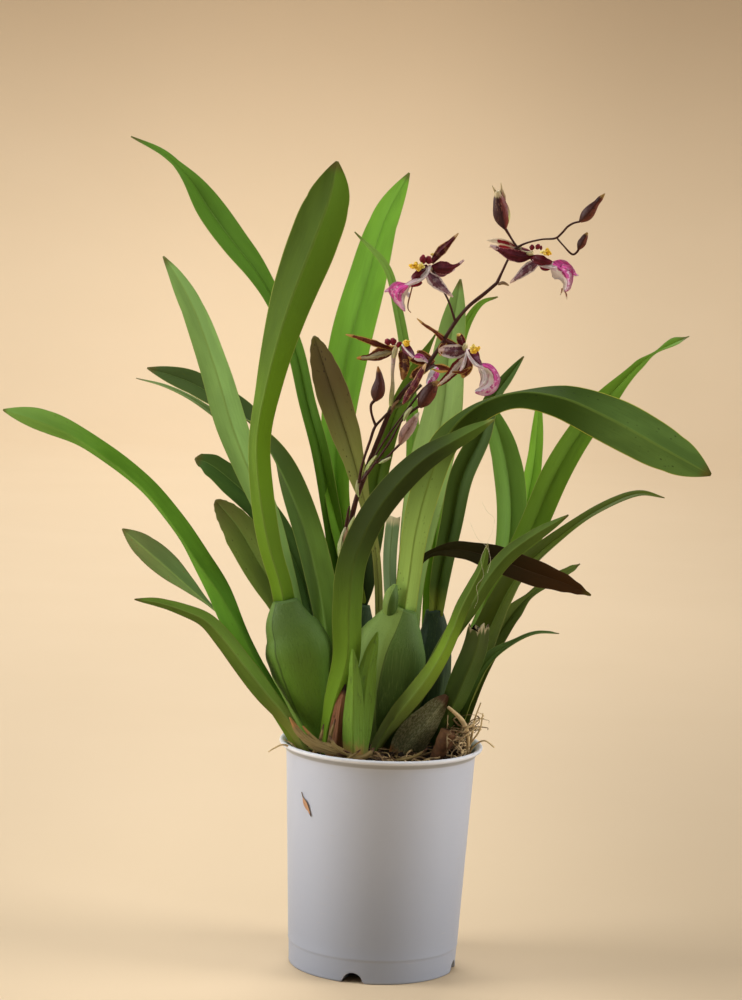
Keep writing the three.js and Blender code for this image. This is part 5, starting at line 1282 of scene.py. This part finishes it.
# %% [markdown]
# ## Flowers
#
# Each flower has five narrow sepals and petals and one lip. The lip starts as a dark claw with
# white edges, carries a warty yellow crest, narrows to a white waist and opens into a magenta
# blade. The lower blooms are older: bronze, curled and edged with gold.

# %% Petals: finish, centre line, half widths, turn and fold
PETALS = {
    "flower_right_tepals": [
        ("cream_barred", [[64, -57, 428.2], [58.3, -57, 430.4], [52.1, -56, 431.5], [46.6, -55, 431.5]],
         [1.2, 1.7, 1.7, 1.2, 0.3], 10, 12),
        ("cream_barred", [[64.8, -54, 427], [58.1, -51, 428.3], [52.6, -49, 428.3], [48.1, -48, 427.8]],
         [1.1, 1.7, 1.9, 1.2, 0.3], 0, 10),
        ("maroon", [[72, -58, 424.1], [65.7, -61, 423.6], [58.3, -63, 425], [52.6, -64, 427.3],
         [48, -64, 429.3]], [1.6, 3.1, 3.4, 2.6, 1.5, 0.4], 8, -14),
        ("mauve", [[76.1, -58, 420.9], [70.5, -60, 417.4], [65.2, -60, 412.7], [60.4, -59, 408.5]],
         [1.6, 2.8, 2.7, 1.7, 0.4], -10, -12),
        ("maroon", [[72.3, -52, 425], [65.8, -46, 425.7], [59.2, -42, 425.3], [54.2, -40, 424.4]],
         [1.5, 3, 3, 1.6, 0.4], 0, 14),
        ("mauve", [[75.3, -51, 421.2], [70.7, -46, 416.9], [67.1, -43, 412.7]], [1.5, 2.6, 2.2, 0.4], 0,
         10),
        ("red_lobe", [[76.8, -57, 419.5], [80.2, -57, 417.4], [83, -57, 417.8]], [0.8, 1.6, 1.2, 0.3], 0,
         0),
    ],
    "flower_right_lip": [
        ("lip_claw", [[71.2, -58.5, 423.5], [74.1, -62, 422.6], [78.5, -63.5, 421.7], [83.7, -62, 420.8]],
         [1.6, 2.9, 2.9, 1.9, 0.9], 0, -20),
        ("lip_white", [[72.5, -60, 422.5], [77.1, -61.5, 419.4], [82.1, -61.5, 418.5], [86.1, -61, 417.8]],
         [0.9, 1.0, 1.1, 1.3], 0, -10),
        ("lip_blade_left", [[83, -60, 420.1], [87.6, -60, 417.5], [91.5, -58.5, 413.7], [92.8, -56, 408.7],
         [91.4, -54, 404.3]], [2.2, 6.2, 8.2, 5.2, 2.6, 0.5], 0, -34),
        ("lip_blade_left", [[88.4, -59, 418.7], [93.8, -56, 416.8], [96.8, -54, 414.4], [98.9, -53, 414.1]],
         [1.5, 2.2, 1.7, 0.3], 20, -30),
        ("cream_barred", [[91.3, -54, 405.7], [92.6, -54, 403], [93, -54, 400.5]], [0.6, 0.6, 0.2], 0, 0),
        ("cream_barred", [[89.9, -54, 406.8], [89.7, -54, 404.5], [89.2, -54, 402.8]], [0.5, 0.5, 0.2], 0,
         0),
    ],
    "flower_left_tepals": [
        ("maroon_gold", [[16.1, -52, 417.6], [20.6, -54, 424], [25.9, -56, 429.8], [30.4, -57, 435]],
         [1.3, 2.4, 2.3, 1.3, 0.35], 0, -12),
        ("maroon", [[16.2, -53, 415.4], [21.5, -56, 415], [27.1, -58, 415.7], [31.2, -58, 417.6],
         [34.1, -58, 420.2]], [1.3, 3.3, 3.8, 3.2, 1.4, 1.0, 0.5], 10, -14),
        ("mauve", [[14.2, -52, 411.9], [19.7, -55, 406.6], [24.3, -56, 402.9], [29, -56, 399.2]],
         [1.7, 3.1, 3.0, 1.7, 0.35], 0, -12),
        ("maroon", [[16.1, -47, 414], [23.1, -40, 413], [29.9, -36, 414.2]], [1.3, 3.2, 3.4, 2, 0.4], 0,
         14),
        ("mauve", [[14.3, -47, 410.6], [18.8, -42, 406.1], [22.4, -39, 403.8]], [1.5, 2.8, 2.2, 0.4], 0,
         10),
    ],
    "flower_left_lip": [
        ("lip_claw", [[15.1, -53, 415.3], [11.5, -56.5, 412.8], [8.2, -57.5, 410.7], [5.3, -56.5, 408]],
         [2.2, 3.4, 3.3, 2.2, 1.1], 0, -20),
        ("lip_white", [[15.6, -54, 416.5], [13.8, -56, 412.6], [10, -57, 408.3], [5.6, -57, 406.1],
         [1.3, -55.5, 403.1]], [0.9, 1.3, 1.5, 1.9, 1.5], 0, -12),
        ("lip_blade_right", [[3.5, -56.5, 404.6], [-1.1, -56.5, 400.8], [-0.9, -54, 396.2],
         [2.5, -50.5, 389.7]], [2.0, 5.8, 6.6, 4.4, 2.2, 0.5], 0, -34),
        ("lip_blade_right", [[0.2, -55.5, 402.5], [-4.3, -53.5, 402.2], [-7.6, -52, 400.9],
         [-9.5, -51.5, 400.2]], [1.5, 2.3, 1.7, 0.3], -20, -30),
        ("red_lobe", [[11.2, -56.5, 406.9], [9, -56.5, 405.4], [5.2, -56.5, 404.1]], [0.6, 0.9, 0.7, 0.3],
         0, 0),
    ],
    "flower_middle_left_tepals": [
        ("bronze", [[-3.9, -38.5, 367.5], [-10.2, -40, 369.3], [-17.7, -41.5, 371.7], [-24.5, -43, 373.7],
         [-30.4, -43.5, 374.9]], [1, 1.5, 1.7, 1.6, 1, 0.3], 0, -14),
        ("olive_centre", [[-3.8, -38.5, 365.8], [-10, -41, 364.3], [-16.7, -42, 362.4],
         [-23.6, -42.5, 361.7]], [1.3, 2.9, 3, 1.7, 0.5], 0, -14),
        ("bronze_mottled", [[1.8, -39, 367.2], [3.2, -39.5, 362.2], [3.6, -39.5, 356.5], [2.9, -39, 350.2]],
         [1.8, 3.2, 3.4, 2.2, 0.5], 0, -12),
        ("bronze", [[-1.6, -35, 368], [-7.8, -30, 366.3], [-15.1, -27, 364.6]], [1.2, 2.6, 2.4, 0.4], 0,
         12),
        ("bronze", [[0.8, -34, 365.7], [3.4, -30, 359.9], [4.2, -28, 354.6]], [1.4, 2.8, 2.2, 0.4], 0, 12),
    ],
    "flower_middle_left_lip": [
        ("lip_claw_violet", [[1.7, -42, 370], [4.9, -44, 367.7], [8.8, -44, 363.6]], [1.6, 2.6, 2.2, 0.8],
         0, -20),
        ("lip_white", [[1.7, -42.5, 370.6], [4.6, -44.8, 367.2], [8.5, -44.8, 363.6]], [0.5, 0.6, 0.7], 0,
         0),
        ("lip_blade_left", [[8.8, -44, 363.6], [11.9, -44, 363.7], [14.5, -43.5, 362.7], [16.8, -43, 361]],
         [1, 2.3, 2.3, 1.3, 0.4], 0, -20),
    ],
    "flower_centre_tepals": [
        ("bronze", [[33.4, -41, 371], [26.4, -45, 373.8], [19.3, -48, 379.3], [13.5, -50, 382.8],
         [9.4, -51, 386.1]], [1.3, 1.9, 1.6, 1.2, 0.8, 0.25], 0, -14),
        ("maroon_gold", [[36.3, -42, 370.6], [34.9, -44.5, 374.7], [33.5, -46, 378.4]],
         [1.8, 2.7, 2.4, 0.8], 0, -16),
        ("mauve", [[38.1, -42, 369], [31.8, -45, 368], [26.1, -46.5, 368.2], [22.4, -47, 368.6]],
         [2, 4, 4.3, 3, 0.8], 0, -10),
        ("cream_centre", [[37.7, -42, 365], [32.5, -44, 358.1], [28, -44, 352.8], [22.8, -43.5, 348]],
         [1.6, 3.1, 3.1, 2, 0.5], 0, -14),
        ("bronze", [[38.8, -41, 366.7], [39, -42, 360.5], [36.8, -42, 353]], [1.6, 3.4, 3, 0.7], 0, -12),
        ("bronze", [[26.5, -44, 373.7], [23.8, -46, 369.7], [23.7, -46.5, 365.2]], [0.8, 1.3, 1.2, 0.4], 0,
         0),
        ("bronze", [[30.6, -45.5, 356.4], [36.3, -45, 356.6], [41.3, -44, 359.6]], [0.4, 1, 0.9, 0.3], 0,
         0),
    ],
    "flower_centre_lip": [
        ("lip_claw_violet", [[39.4, -43, 369.1], [42.3, -46, 366.9], [44.4, -47, 363.9],
         [46.8, -46.5, 360.9]], [2.2, 3.5, 3.2, 2, 0.9], 0, -20),
        ("lip_white", [[38.8, -43.5, 370], [37.9, -46, 364.7], [36.7, -46, 360.1], [35.1, -45.5, 357.2]],
         [0.6, 0.9, 1.1, 0.4], 0, -10),
        ("lip_white", [[38.2, -44, 369.7], [40.4, -47, 365.1], [43.9, -48, 361.4], [48, -47.5, 359.6]],
         [0.5, 0.9, 1.0, 0.9], 0, -10),
        ("lip_blade_left", [[47.1, -46.5, 361.1], [51.7, -46, 359], [54.8, -44.5, 354.5],
         [53.7, -43, 349.3], [49.3, -42.5, 346.5], [44.3, -42, 345.4]], [1.6, 2.8, 3.6, 4.2, 3.4, 1.0], 0,
         -26),
        ("lip_white", [[45.6, -46.5, 361], [48.6, -45.5, 357], [49.3, -44.5, 352.5], [47, -43.5, 348.5]],
         [0.9, 2.5, 2.6, 0.8], 0, -16),
    ],
    "flower_back": [
        ("bronze", [[19.9, -31, 359.5], [13.6, -32, 360.5], [5.5, -33, 362.5]], [1.5, 2.4, 2.2, 0.6], 0,
         -12),
        ("bronze", [[20.5, -30.5, 360.1], [15.2, -31.5, 363.9], [10.5, -32, 366.6]], [1.4, 2.3, 2, 0.5], 0,
         -10),
        ("bronze", [[18.3, -31, 358.3], [12.7, -33, 355.3], [7.1, -34, 351.2]], [1.4, 2.6, 2.4, 0.6], 0,
         -10),
        ("lip_blade_left", [[22.2, -34, 358.1], [20.9, -37, 354.3], [18.5, -38.5, 350.8],
         [16.9, -38.5, 347.9]], [1.4, 3, 3.2, 2, 0.5], 0, -20),
        ("bronze", [[20.6, -28, 358.2], [25.9, -26, 357.1], [31.1, -25, 355.6]], [1.2, 2.2, 1.8, 0.5], 0,
         10),
        ("maroon_gold", [[6, -50, 341.5], [9, -51.5, 347], [12, -52.5, 353.5], [15.6, -51.5, 361]],
         [0.7, 2.9, 3.3, 2.4, 0.4], 0, -50),
        ("maroon_gold", [[3.5, -49, 337], [6.2, -50.5, 343], [9.2, -50, 349]], [0.5, 2.1, 2.1, 0.4], 0,
         -46),
        ("gold", [[19.3, -42.5, 357.4], [23.8, -44, 356.3], [28.3, -44.5, 356.8]], [0.3, 0.7, 0.6, 0.3], 0,
         0),
    ],
}

# %% Columns, side lobes and threads: finish, centre line and radius
KNOBS = {
    "flower_right_tepals": [
        ("pale_column", [[64.6, -57, 427.1], [64.8, -57, 428.7], [65, -57, 430.1]], [0.7, 1.3, 0.6]),
        ("pale_column", [[64.7, -56.5, 426.5], [68.6, -57.5, 425.3], [72.4, -59, 425.8]], [1.0, 1.3, 1.2]),
    ],
    "flower_right_lip": [
        ("red_lobe", [[71.5, -58.5, 427.4], [71.7, -59, 429.1], [71.6, -59, 430.5]], [0.7, 1.5, 0.5]),
        ("red_lobe", [[74.3, -59, 428.1], [75, -59.5, 429.5], [75.5, -59.5, 430.9]], [0.7, 1.5, 0.6]),
        ("red_lobe", [[76.8, -58.5, 427.6], [76.8, -58.5, 429], [77, -58.5, 430.1]], [0.4, 0.8, 0.3]),
    ],
    "flower_left_tepals": [
        ("pale_column", [[17.1, -52, 415.7], [16.3, -52.5, 414.8], [14.9, -53, 413.6]], [0.7, 1.0, 0.8]),
        ("gold_knob", [[16.5, -53, 421.8], [16.2, -53.2, 422.7], [16, -53.2, 423.3]], [0.4, 1.0, 0.4]),
    ],
    "flower_left_lip": [
        ("red_lobe", [[11.9, -54.5, 417.2], [11.2, -55, 419.7], [11.4, -55, 422.2]], [0.8, 1.9, 0.5]),
        ("red_lobe", [[15, -54, 417.3], [14.3, -54.5, 419.5], [14.8, -54.5, 421.5]], [1.0, 2.0, 0.9]),
        ("thread", [[6, -56, 404.4], [4.9, -53.5, 398.9], [4, -51.5, 394], [4.3, -51.5, 390.9],
         [5.9, -51.5, 389.2]], [0.35, 0.4, 0.4, 0.25]),
    ],
    "flower_middle_left_tepals": [
        ("red_lobe", [[-5.9, -40, 369.8], [-6.6, -40.5, 371.8], [-7.5, -40.5, 373.2]], [0.8, 1.9, 0.8]),
        ("red_lobe", [[-3.1, -40, 369.9], [-3.5, -40.5, 372.2], [-4.1, -40.5, 373.9]], [0.8, 2.0, 0.8]),
        ("pale_column", [[-2.8, -38.5, 362.5], [-2.1, -39, 366.5], [-1.1, -40, 370]], [1.3, 1.6, 1.1]),
    ],
    "flower_middle_left_lip": [
        ("red_lobe", [[-0.8, -41, 369], [0, -41.5, 370.6], [1.6, -41.5, 371.4]], [0.8, 1.4, 0.8]),
    ],
    "flower_centre_tepals": [
        ("pale_column", [[36.6, -42, 368.9], [37.4, -43, 371], [37.8, -43.5, 372.7]], [0.9, 1.6, 1.0]),
    ],
    "flower_centre_lip": [
        ("gold_knob", [[33.6, -46.3, 377], [33.4, -46.6, 377.8], [33.3, -46.6, 378.6]], [0.5, 1.1, 0.5]),
    ],
}

# %% Crests: centre, size, and the pale end towards the column
CRESTS = {
    "flower_right_lip": ([79.7, -63, 426.8], [3.3, 2.2, 1.9], [75.6, -62, 427.1]),
    "flower_left_lip": ([7.8, -57, 415.4], [4.6, 2.4, 2.2], [13, -55.5, 416.7]),
    "flower_middle_left_lip": ([3.9, -44, 371.6], [2.3, 1.8, 1.6], [2.2, -43, 370.9]),
    "flower_centre_lip": ([42.9, -47.5, 370.1], [2.9, 2.2, 2.1], [40.1, -46, 371.3]),
}


# %% Petal finish
def petal_finish(name, body, margin, tip, margin_from=0.85, tip_from=0.85, bars=0.0, side=None, veil=None,
                 veil_share=0.3):
    """Body colour, a margin that wavers, a pale tip, pale cross bars and one pale side."""
    petal = Finish(name, 0.55, 0.2)
    strap, share, lie = petal.read("strap", out=1), petal.read("along"), petal.read("across")
    streaks = petal.streaks(strap, (1.3, 0.16, 0.6), 3.0, 0.6)
    blots = petal.streaks(strap, (0.45, 0.5, 0.6), 3.0, 0.55)
    petal.colour = petal.mix(scaled(body, 0.55), scaled(body, 1.3), streaks.rise(0.3, 0.7))
    if veil:
        petal.layer(veil, (blots + 0.4 * (share - 0.5)).rise(0.45, 0.62) * veil_share)
    if bars:
        wave = petal.streaks(strap, (0.22, 0.30, 0.4), 2.0)
        petal.layer(margin, wave.rise(0.52, 0.58) * wave.rise(0.66, 0.6) * bars * 0.6)
    petal.layer(margin, (abs(lie) + (blots - 0.5) * 0.9).rise(margin_from, margin_from + 0.06))
    petal.layer(tip, (share + (blots - 0.5) * 0.3).rise(tip_from, tip_from + 0.06))
    if side:
        tone, low, high = side
        petal.layer(tone, (lie + (blots - 0.5) * 0.5).rise(low, high))
    petal.feed(Base_Color=petal.colour, Roughness=0.42 + 0.2 * blots)
    petal.bump(streaks * 0.7 + blots * 0.5, 0.6, 0.0005)
    return petal


WHITE = (0.86, 0.78, 0.80)
CREAM = (0.80, 0.62, 0.42)
GOLD = (0.55, 0.31, 0.07)
MAROON = (0.10, 0.006, 0.014)
MAGENTA = (0.64, 0.075, 0.32)

petal_finishes = {
    "maroon": petal_finish("petal_maroon", MAROON, (0.4, 0.14, 0.14), (0.66, 0.46, 0.46), 0.92, 0.8,
        veil=(0.22, 0.03, 0.05), veil_share=0.35),
    "maroon_gold": petal_finish("petal_maroon_gold", MAROON, (0.5, 0.28, 0.12), (0.62, 0.4, 0.2), 0.84,
        0.84, bars=0.4),
    "mauve": petal_finish("petal_mauve", (0.17, 0.06, 0.085), (0.74, 0.62, 0.6), (0.72, 0.52, 0.46), 0.66,
        0.8, bars=0.5, veil=(0.34, 0.2, 0.24), veil_share=0.6),
    "cream_barred": petal_finish("petal_cream_barred", (0.28, 0.015, 0.02), CREAM, (0.84, 0.7, 0.5), 0.5,
        0.68, bars=0.6),
    "bronze": petal_finish("petal_bronze", (0.13, 0.02, 0.008), GOLD, (0.62, 0.36, 0.1), 0.72, 0.84,
        veil=(0.26, 0.08, 0.022), veil_share=0.5),
    "bronze_mottled": petal_finish("petal_bronze_mottled", (0.1, 0.02, 0.012), GOLD, (0.3, 0.14, 0.03),
        0.86, 0.9, bars=0.9, veil=(0.38, 0.17, 0.04), veil_share=0.6),
    "olive_centre": petal_finish("petal_olive", (0.42, 0.36, 0.2), (0.13, 0.03, 0.012), (0.6, 0.28, 0.07),
        0.5, 0.88),
    "cream_centre": petal_finish("petal_cream_centre", (0.62, 0.5, 0.4), (0.17, 0.02, 0.018),
        (0.55, 0.3, 0.08), 0.42, 0.9),
    "gold": petal_finish("petal_gold", GOLD, (0.7, 0.45, 0.14), (0.6, 0.3, 0.07)),
    "red_lobe": petal_finish("petal_red_lobe", (0.22, 0.008, 0.022), (0.1, 0.006, 0.02),
        (0.34, 0.03, 0.06)),
    "pale_column": petal_finish("column_pale", (0.66, 0.62, 0.34), (0.5, 0.36, 0.2), (0.84, 0.74, 0.42)),
    "gold_knob": petal_finish("anther_cap", (0.85, 0.62, 0.16), (0.8, 0.5, 0.08), (0.86, 0.7, 0.3)),
    "thread": petal_finish("dry_thread", (0.24, 0.1, 0.05), (0.3, 0.15, 0.07), (0.34, 0.16, 0.08)),
    "lip_claw": petal_finish("lip_claw", (0.11, 0.005, 0.014), MAROON, (0.62, 0.5, 0.52), 0.9, 0.95,
        veil=(0.22, 0.012, 0.03)),
    "lip_claw_violet": petal_finish("lip_claw_violet", (0.16, 0.02, 0.05), MAROON, (0.6, 0.4, 0.5), 0.9,
        0.94, veil=(0.3, 0.16, 0.26), veil_share=0.6),
    "lip_white": petal_finish("lip_white", WHITE, (0.66, 0.36, 0.5), WHITE, 0.86, 1.1,
        veil=(0.62, 0.3, 0.42), veil_share=0.35),
    "lip_blade_left": petal_finish("lip_blade_left", MAGENTA, (0.66, 0.22, 0.46), (0.6, 0.2, 0.4), 0.84,
        0.9, side=(WHITE, 0.02, 0.16), veil=(0.8, 0.58, 0.72), veil_share=0.85),
    "lip_blade_right": petal_finish("lip_blade_right", MAGENTA, (0.6, 0.18, 0.42), (0.58, 0.2, 0.4), 0.84,
        0.9, side=(WHITE, -0.3, -0.45), veil=(0.78, 0.52, 0.68), veil_share=0.75),
}


# %% Crest finish and shape
def crest_finish():
    wart = Finish("crest_yellow", 0.4, 0.5)
    here, pale = wart.around(), wart.read("tone")
    dots = wart.noise(here, 900.0, 2.0)
    wart.colour = wart.mix((0.92, 0.56, 0.008), (0.92, 0.84, 0.25), pale)
    wart.layer((0.40, 0.13, 0.01), dots.rise(0.6, 0.68) * 0.8)
    wart.feed(Base_Color=wart.colour, Roughness=0.3 + 0.3 * dots)
    wart.bump(dots, 0.4, 0.0003)
    return wart


WARTS = 60


def crest_body(centre, size, pale_end, seed):
    """A heap of small warts, paler towards the column."""
    rng = np.random.default_rng(seed)
    body = Body()
    centre, size, pale_end = (np.array(part, float) for part in (centre, size, pale_end))
    reach = np.linalg.norm(pale_end - centre)
    for _ in range(WARTS):
        way = rng.normal(0, 1, 3)
        spot = centre + way / np.linalg.norm(way) * size * rng.uniform(0.1, 0.95)
        r = rng.uniform(0.6, 1.1)
        up = rng.normal(0, 0.3, 3) + [0, 0, 0.7]
        spine = [spot - up * r, spot, spot + up * r]
        loops, _ = rod_loops(spine, [0.15, r, r * 0.8, 0.12], 8, 9)
        pale = np.clip(1.25 - np.linalg.norm(spot - pale_end) / reach, 0, 1)
        body.tint(loops, pale)
    return body


# %% Shape the flowers
crest = crest_finish()
for number, (node, strokes) in enumerate(PETALS.items()):
    slot_name = "lip" if node.endswith("lip") else "petal"
    made = []
    for k, stroke in enumerate(strokes):
        broad = max(stroke[2])
        made.append((stroke[0], *petal_loops(stroke, 100 + 9 * number + k, waves=0.24 * broad, thick=0.5,
                                             groove=0.15, arch=0.14, ragged=0.16)))
    for key, spine, radius in KNOBS.get(node, []):
        made.append((key, *rod_loops(spine, radius, 18, 14, stepped=0.05)))
    finish_bodies(made, petal_finishes, node, slot_name)
    if node in CRESTS:
        seat(crest_body(*CRESTS[node], seed=number).piece(node + "_crest"), crest, "lip", node)
print("flowers:", len(PETALS))
# %% [markdown]
# ## Roots and moss
#
# At the right edge old roots and moss have grown into a tangle of wiry beige loops. They start
# under the bark and wander upwards, each as its own bent rod. A drier twig sticks out at the left.

# %% Root strokes
TANGLE = (50.0, -14.0)  # its middle, across and in depth
STRANDS = 150
STRAND_TONES = [0.0, 0.15, 0.4, 0.7, 0.95]
START_RADIUS = 51.0  # strands start inside this, in the pot
RIM_RADIUS, RIM_TOP = 52.0, 142.0  # below this height they stay inside this radius
THICK_ROOTS = [
    ([[50, -14, SEAT], [51, -16, 134], [49.5, -18, 146], [45, -18, 153], [37.8, -20, 159.5]],
     [0.5, 0.5, 0.9, 1.4, 0.9]),
    ([[50, -8, SEAT], [53, -14, 134], [60, -18, 140], [66, -19, 136.5]], [0.9, 0.7, 0.5, 0.4]),
    ([[47, -8, SEAT], [52, -14, 137], [54, -15, 152], [57, -16, 162]], [0.9, 0.7, 0.4]),
    ([[48, -10, SEAT], [50.5, -14, 134], [57, -17, 146], [58.5, -17, 156]], [0.8, 0.6, 0.4]),
]
OLD_CANE = ([[32.5, -14, SEAT], [34, -18, 130], [36.5, -20, 138], [39, -21, 145]], [4.6, 4.8, 5.2, 4.8])
THREADS = [
    [[50.5, -58, 284.6], [54, -59, 279], [57.7, -58, 275.8], [57.2, -58, 268], [55, -58, 262],
        [56, -56, 256]],
    [[44.3, -58, 272.9], [49, -60, 264], [54, -58, 259.7], [56.9, -58, 252], [55.5, -57, 244]],
    [[55.2, -58, 262], [51.5, -57, 252], [53.5, -55, 242], [50, -53, 236], [51.2, -50, 228.6],
        [49.5, -46, 222]],
]
THREAD_RADIUS = [0.04, 0.07, 0.06, 0.03]
TWIG = [
    ([[-44, -22, 124], [-51, -24, 131], [-57, -25, 134], [-62, -26, 132], [-65.5, -26, 129.5]],
     [0.9, 0.8, 0.6, 0.3]),
    ([[-46, -22, 126], [-52, -22, 134], [-57, -22, 136.5]], [0.6, 0.5, 0.3]),
    ([[-42, -20, 126], [-48, -20, 137], [-50, -20, 141]], [0.7, 0.5, 0.3]),
]


def wander(rng, x, y, steps, stride):
    """A wiry loop that climbs and curls back over the mix."""
    heading, rise = rng.uniform(0, 2 * math.pi), rng.uniform(0.2, 1.2)
    z, line = 127.0 + 20.0 * rng.uniform(0, 1) ** 2, []
    inward = min(1.0, START_RADIUS / math.hypot(x, y))
    x, y = x * inward, y * inward
    for _ in range(steps):
        line.append([x, y, z])
        heading += rng.normal(0, 1.0)
        rise -= rng.uniform(0.0, 0.42)
        x += stride * math.cos(heading)
        y += 0.7 * stride * math.sin(heading)
        z = min(max(z + stride * rise, 128.0), 164.0)
        x, y = min(max(x, 38.0), 62.0), min(max(y, -30.0), 16.0)
        out = math.hypot(x, y)
        if out > RIM_RADIUS and z < RIM_TOP:
            x, y = x * RIM_RADIUS / out, y * RIM_RADIUS / out
    return line


# %% Root finish
def root_finish(name, dark, pale):
    root = Finish(name, 0.75, 0.3)
    tone = root.read("tone")
    cloud = root.noise(root.around(), 300.0, 3.0)
    root.colour = root.mix(dark, pale, tone * 0.75 + cloud.rise(0.35, 0.65) * 0.3)
    root.layer((0.08, 0.05, 0.025), cloud.rise(0.6, 0.72) * 0.5)
    root.feed(Base_Color=root.colour, Roughness=0.65 + 0.25 * cloud)
    root.bump(cloud, 0.6, 0.0006)
    return root


# %% Shape the roots
def make_roots(seed=5):
    rng = np.random.default_rng(seed)
    body = Body()
    for spine, radius in THICK_ROOTS + TWIG:
        loops, _ = rod_loops(spine, radius, 30, 12, stepped=0.12)
        body.tint(loops, 0.75)
    for _ in range(STRANDS):
        x = TANGLE[0] + rng.normal(-1, 5.5)
        y = TANGLE[1] + rng.normal(0, 7)
        line = wander(rng, min(x, 54), y, int(rng.integers(5, 10)), rng.uniform(2.6, 4.6))
        thick = rng.uniform(0.2, 0.5)
        loops, _ = rod_loops(line, [thick, thick, thick * 0.5], 30, 7, stepped=0.1)
        body.tint(loops, rng.choice(STRAND_TONES))
    return body.piece("root_tangle_strands")


root_beige = root_finish("root_beige", (0.11, 0.055, 0.018), (0.84, 0.64, 0.34))
tangle = seat(make_roots(), root_beige, "root", "root_tangle")
print("faces in the root tangle:", len(tangle.data.polygons))

# %% The old cane beside them, and dry threads caught between the leaves
threads = Body()
for line in THREADS:
    threads.tint(rod_loops(line, THREAD_RADIUS, 40, 7, stepped=0.3)[0], 1.0)
thread_pale = root_finish("thread_pale", (0.40, 0.36, 0.20), (0.80, 0.74, 0.52))
seat(threads.piece("dry_threads"), thread_pale, "root")
cane = Body().tint(rod_loops(*OLD_CANE, 30, 16, stepped=0.1)[0], 0.35)
cane_brown = root_finish("cane_brown", (0.05, 0.02, 0.008), (0.30, 0.14, 0.055))
seat(cane.piece("old_cane"), cane_brown, "root")
print("threads:", len(THREADS))
# %% [markdown]
# ## A small studio
#
# A pale sweep stands behind and all round the plant, so that it can be seen from any side. Two
# tall soft boxes stand to the left and right, which leaves the middle of the pot a little darker
# than its sides, and a weak one above opens the shadows between the leaves. A wide one hangs high
# behind the plant and lights only the paper.

# %% Sweep
def make_sweep():
    """A wide dish: a flat floor that curves up into a round wall."""
    flat, bend, high = 3200.0, 900.0, 2600.0
    bend_steps, sides = 12, 96
    profile = [(0, 0), (600, 0), (1600, 0), (flat, 0)]
    for step in range(1, bend_steps + 1):
        turn = math.pi / 2 * step / bend_steps
        profile.append((flat + bend * math.sin(turn), bend * (1 - math.cos(turn))))
    profile.append((flat + bend, high))
    rings, _ = turned(np.array(profile, float), sides)
    return new_mesh("sweep", rings.reshape(-1, 3), ring_faces(len(rings), sides))


paper = Finish("sweep_paper", 0.9, 0.1)
here = paper.around()
fleck = paper.noise(here, 6.0, 2.0)
sideways, depth, height = (paper.node("ShaderNodeSeparateXYZ", None, {0: here}, out=k) for k in range(3))
tint = paper.mix((0.84, 0.66, 0.44), (0.87, 0.69, 0.47), fleck)
# Painted shade: the paper darkens up the wall.
tint = paper.mix(tint, (0.50, 0.375, 0.24), height.rise(0.12, 1.05))
# Painted shade towards both sides.
shade = sideways.rise(0.0, 0.55) * 0.19 + sideways.rise(-0.2, -0.8) * 0.13
# Painted shade on the near floor, most of all to the right.
near = depth.rise(1.5, 0.1) * (0.12 + 0.22 * sideways.rise(-0.05, 0.25) + 0.1 * sideways.rise(-0.12, -0.3))
paper.feed(Base_Color=paper.mix(tint, (0.06, 0.04, 0.02), shade + near))
sweep = make_sweep()
sweep.data.materials.append(paper.material)


# %% Lights
def soft_box(name, place, aim, size, power, tint=(1, 1, 1)):
    light = bpy.data.lights.new(name, "AREA")
    light.shape = "RECTANGLE"
    light.size, light.size_y = size
    light.energy = power
    light.color = tint
    box = bpy.data.objects.new(name, light)
    box.location = place
    way = np.array(aim, float) - np.array(place, float)
    box.rotation_mode = "QUATERNION"
    box.rotation_quaternion = Vector(way).to_track_quat("-Z", "Y")
    box.visible_camera = False
    bpy.context.scene.collection.objects.link(box)
    return box


soft_box("left_box", (-1.6, -0.26, 0.75), (0, 0, 0.22), (0.8, 1.4), 25.0, (1.0, 0.99, 0.98))
soft_box("right_box", (1.6, -0.22, 0.7), (0, 0, 0.22), (0.8, 1.4), 21.5, (1.0, 0.98, 0.96))
soft_box("top_box", (-0.1, -0.3, 1.8), (0, 0, 0.3), (1.0, 1.0), 8.0)
soft_box("over_box", (-0.5, 2.6, 3.0), (-0.5, 2.6, 0), (2.6, 2.0), 90.0)

world = bpy.data.worlds.new("room")
world.use_nodes = True
world.node_tree.nodes["Background"].inputs["Color"].default_value = (0.88, 0.94, 1.0, 1)
world.node_tree.nodes["Background"].inputs["Strength"].default_value = 0.10
bpy.context.scene.world = world
bpy.context.scene.view_settings.view_transform = "Standard"

# %% Camera: a long lens, a little above the pot, rolled slightly
CAMERA_PLACE = (-0.0121, -1.694, 0.4697)
LENS = 105.0
PITCH = math.radians(6.51)
ROLL = math.radians(2.45)

forward = np.array([0, math.cos(PITCH), -math.sin(PITCH)])
level_up = np.array([0, math.sin(PITCH), math.cos(PITCH)])
level_right = np.array([1.0, 0.0, 0.0])
right = level_right * math.cos(ROLL) + level_up * math.sin(ROLL)
up = level_up * math.cos(ROLL) - level_right * math.sin(ROLL)
lens = bpy.data.cameras.new("view")
lens.lens, lens.sensor_width, lens.sensor_fit = LENS, 36.0, "AUTO"
lens.clip_start, lens.clip_end = 0.05, 30.0
camera = bpy.data.objects.new("view", lens)
camera.matrix_world = Matrix(((right[0], up[0], -forward[0], CAMERA_PLACE[0]),
                              (right[1], up[1], -forward[1], CAMERA_PLACE[1]),
                              (right[2], up[2], -forward[2], CAMERA_PLACE[2]),
                              (0, 0, 0, 1)))
bpy.context.scene.collection.objects.link(camera)
bpy.context.scene.camera = camera
print("camera at", CAMERA_PLACE)
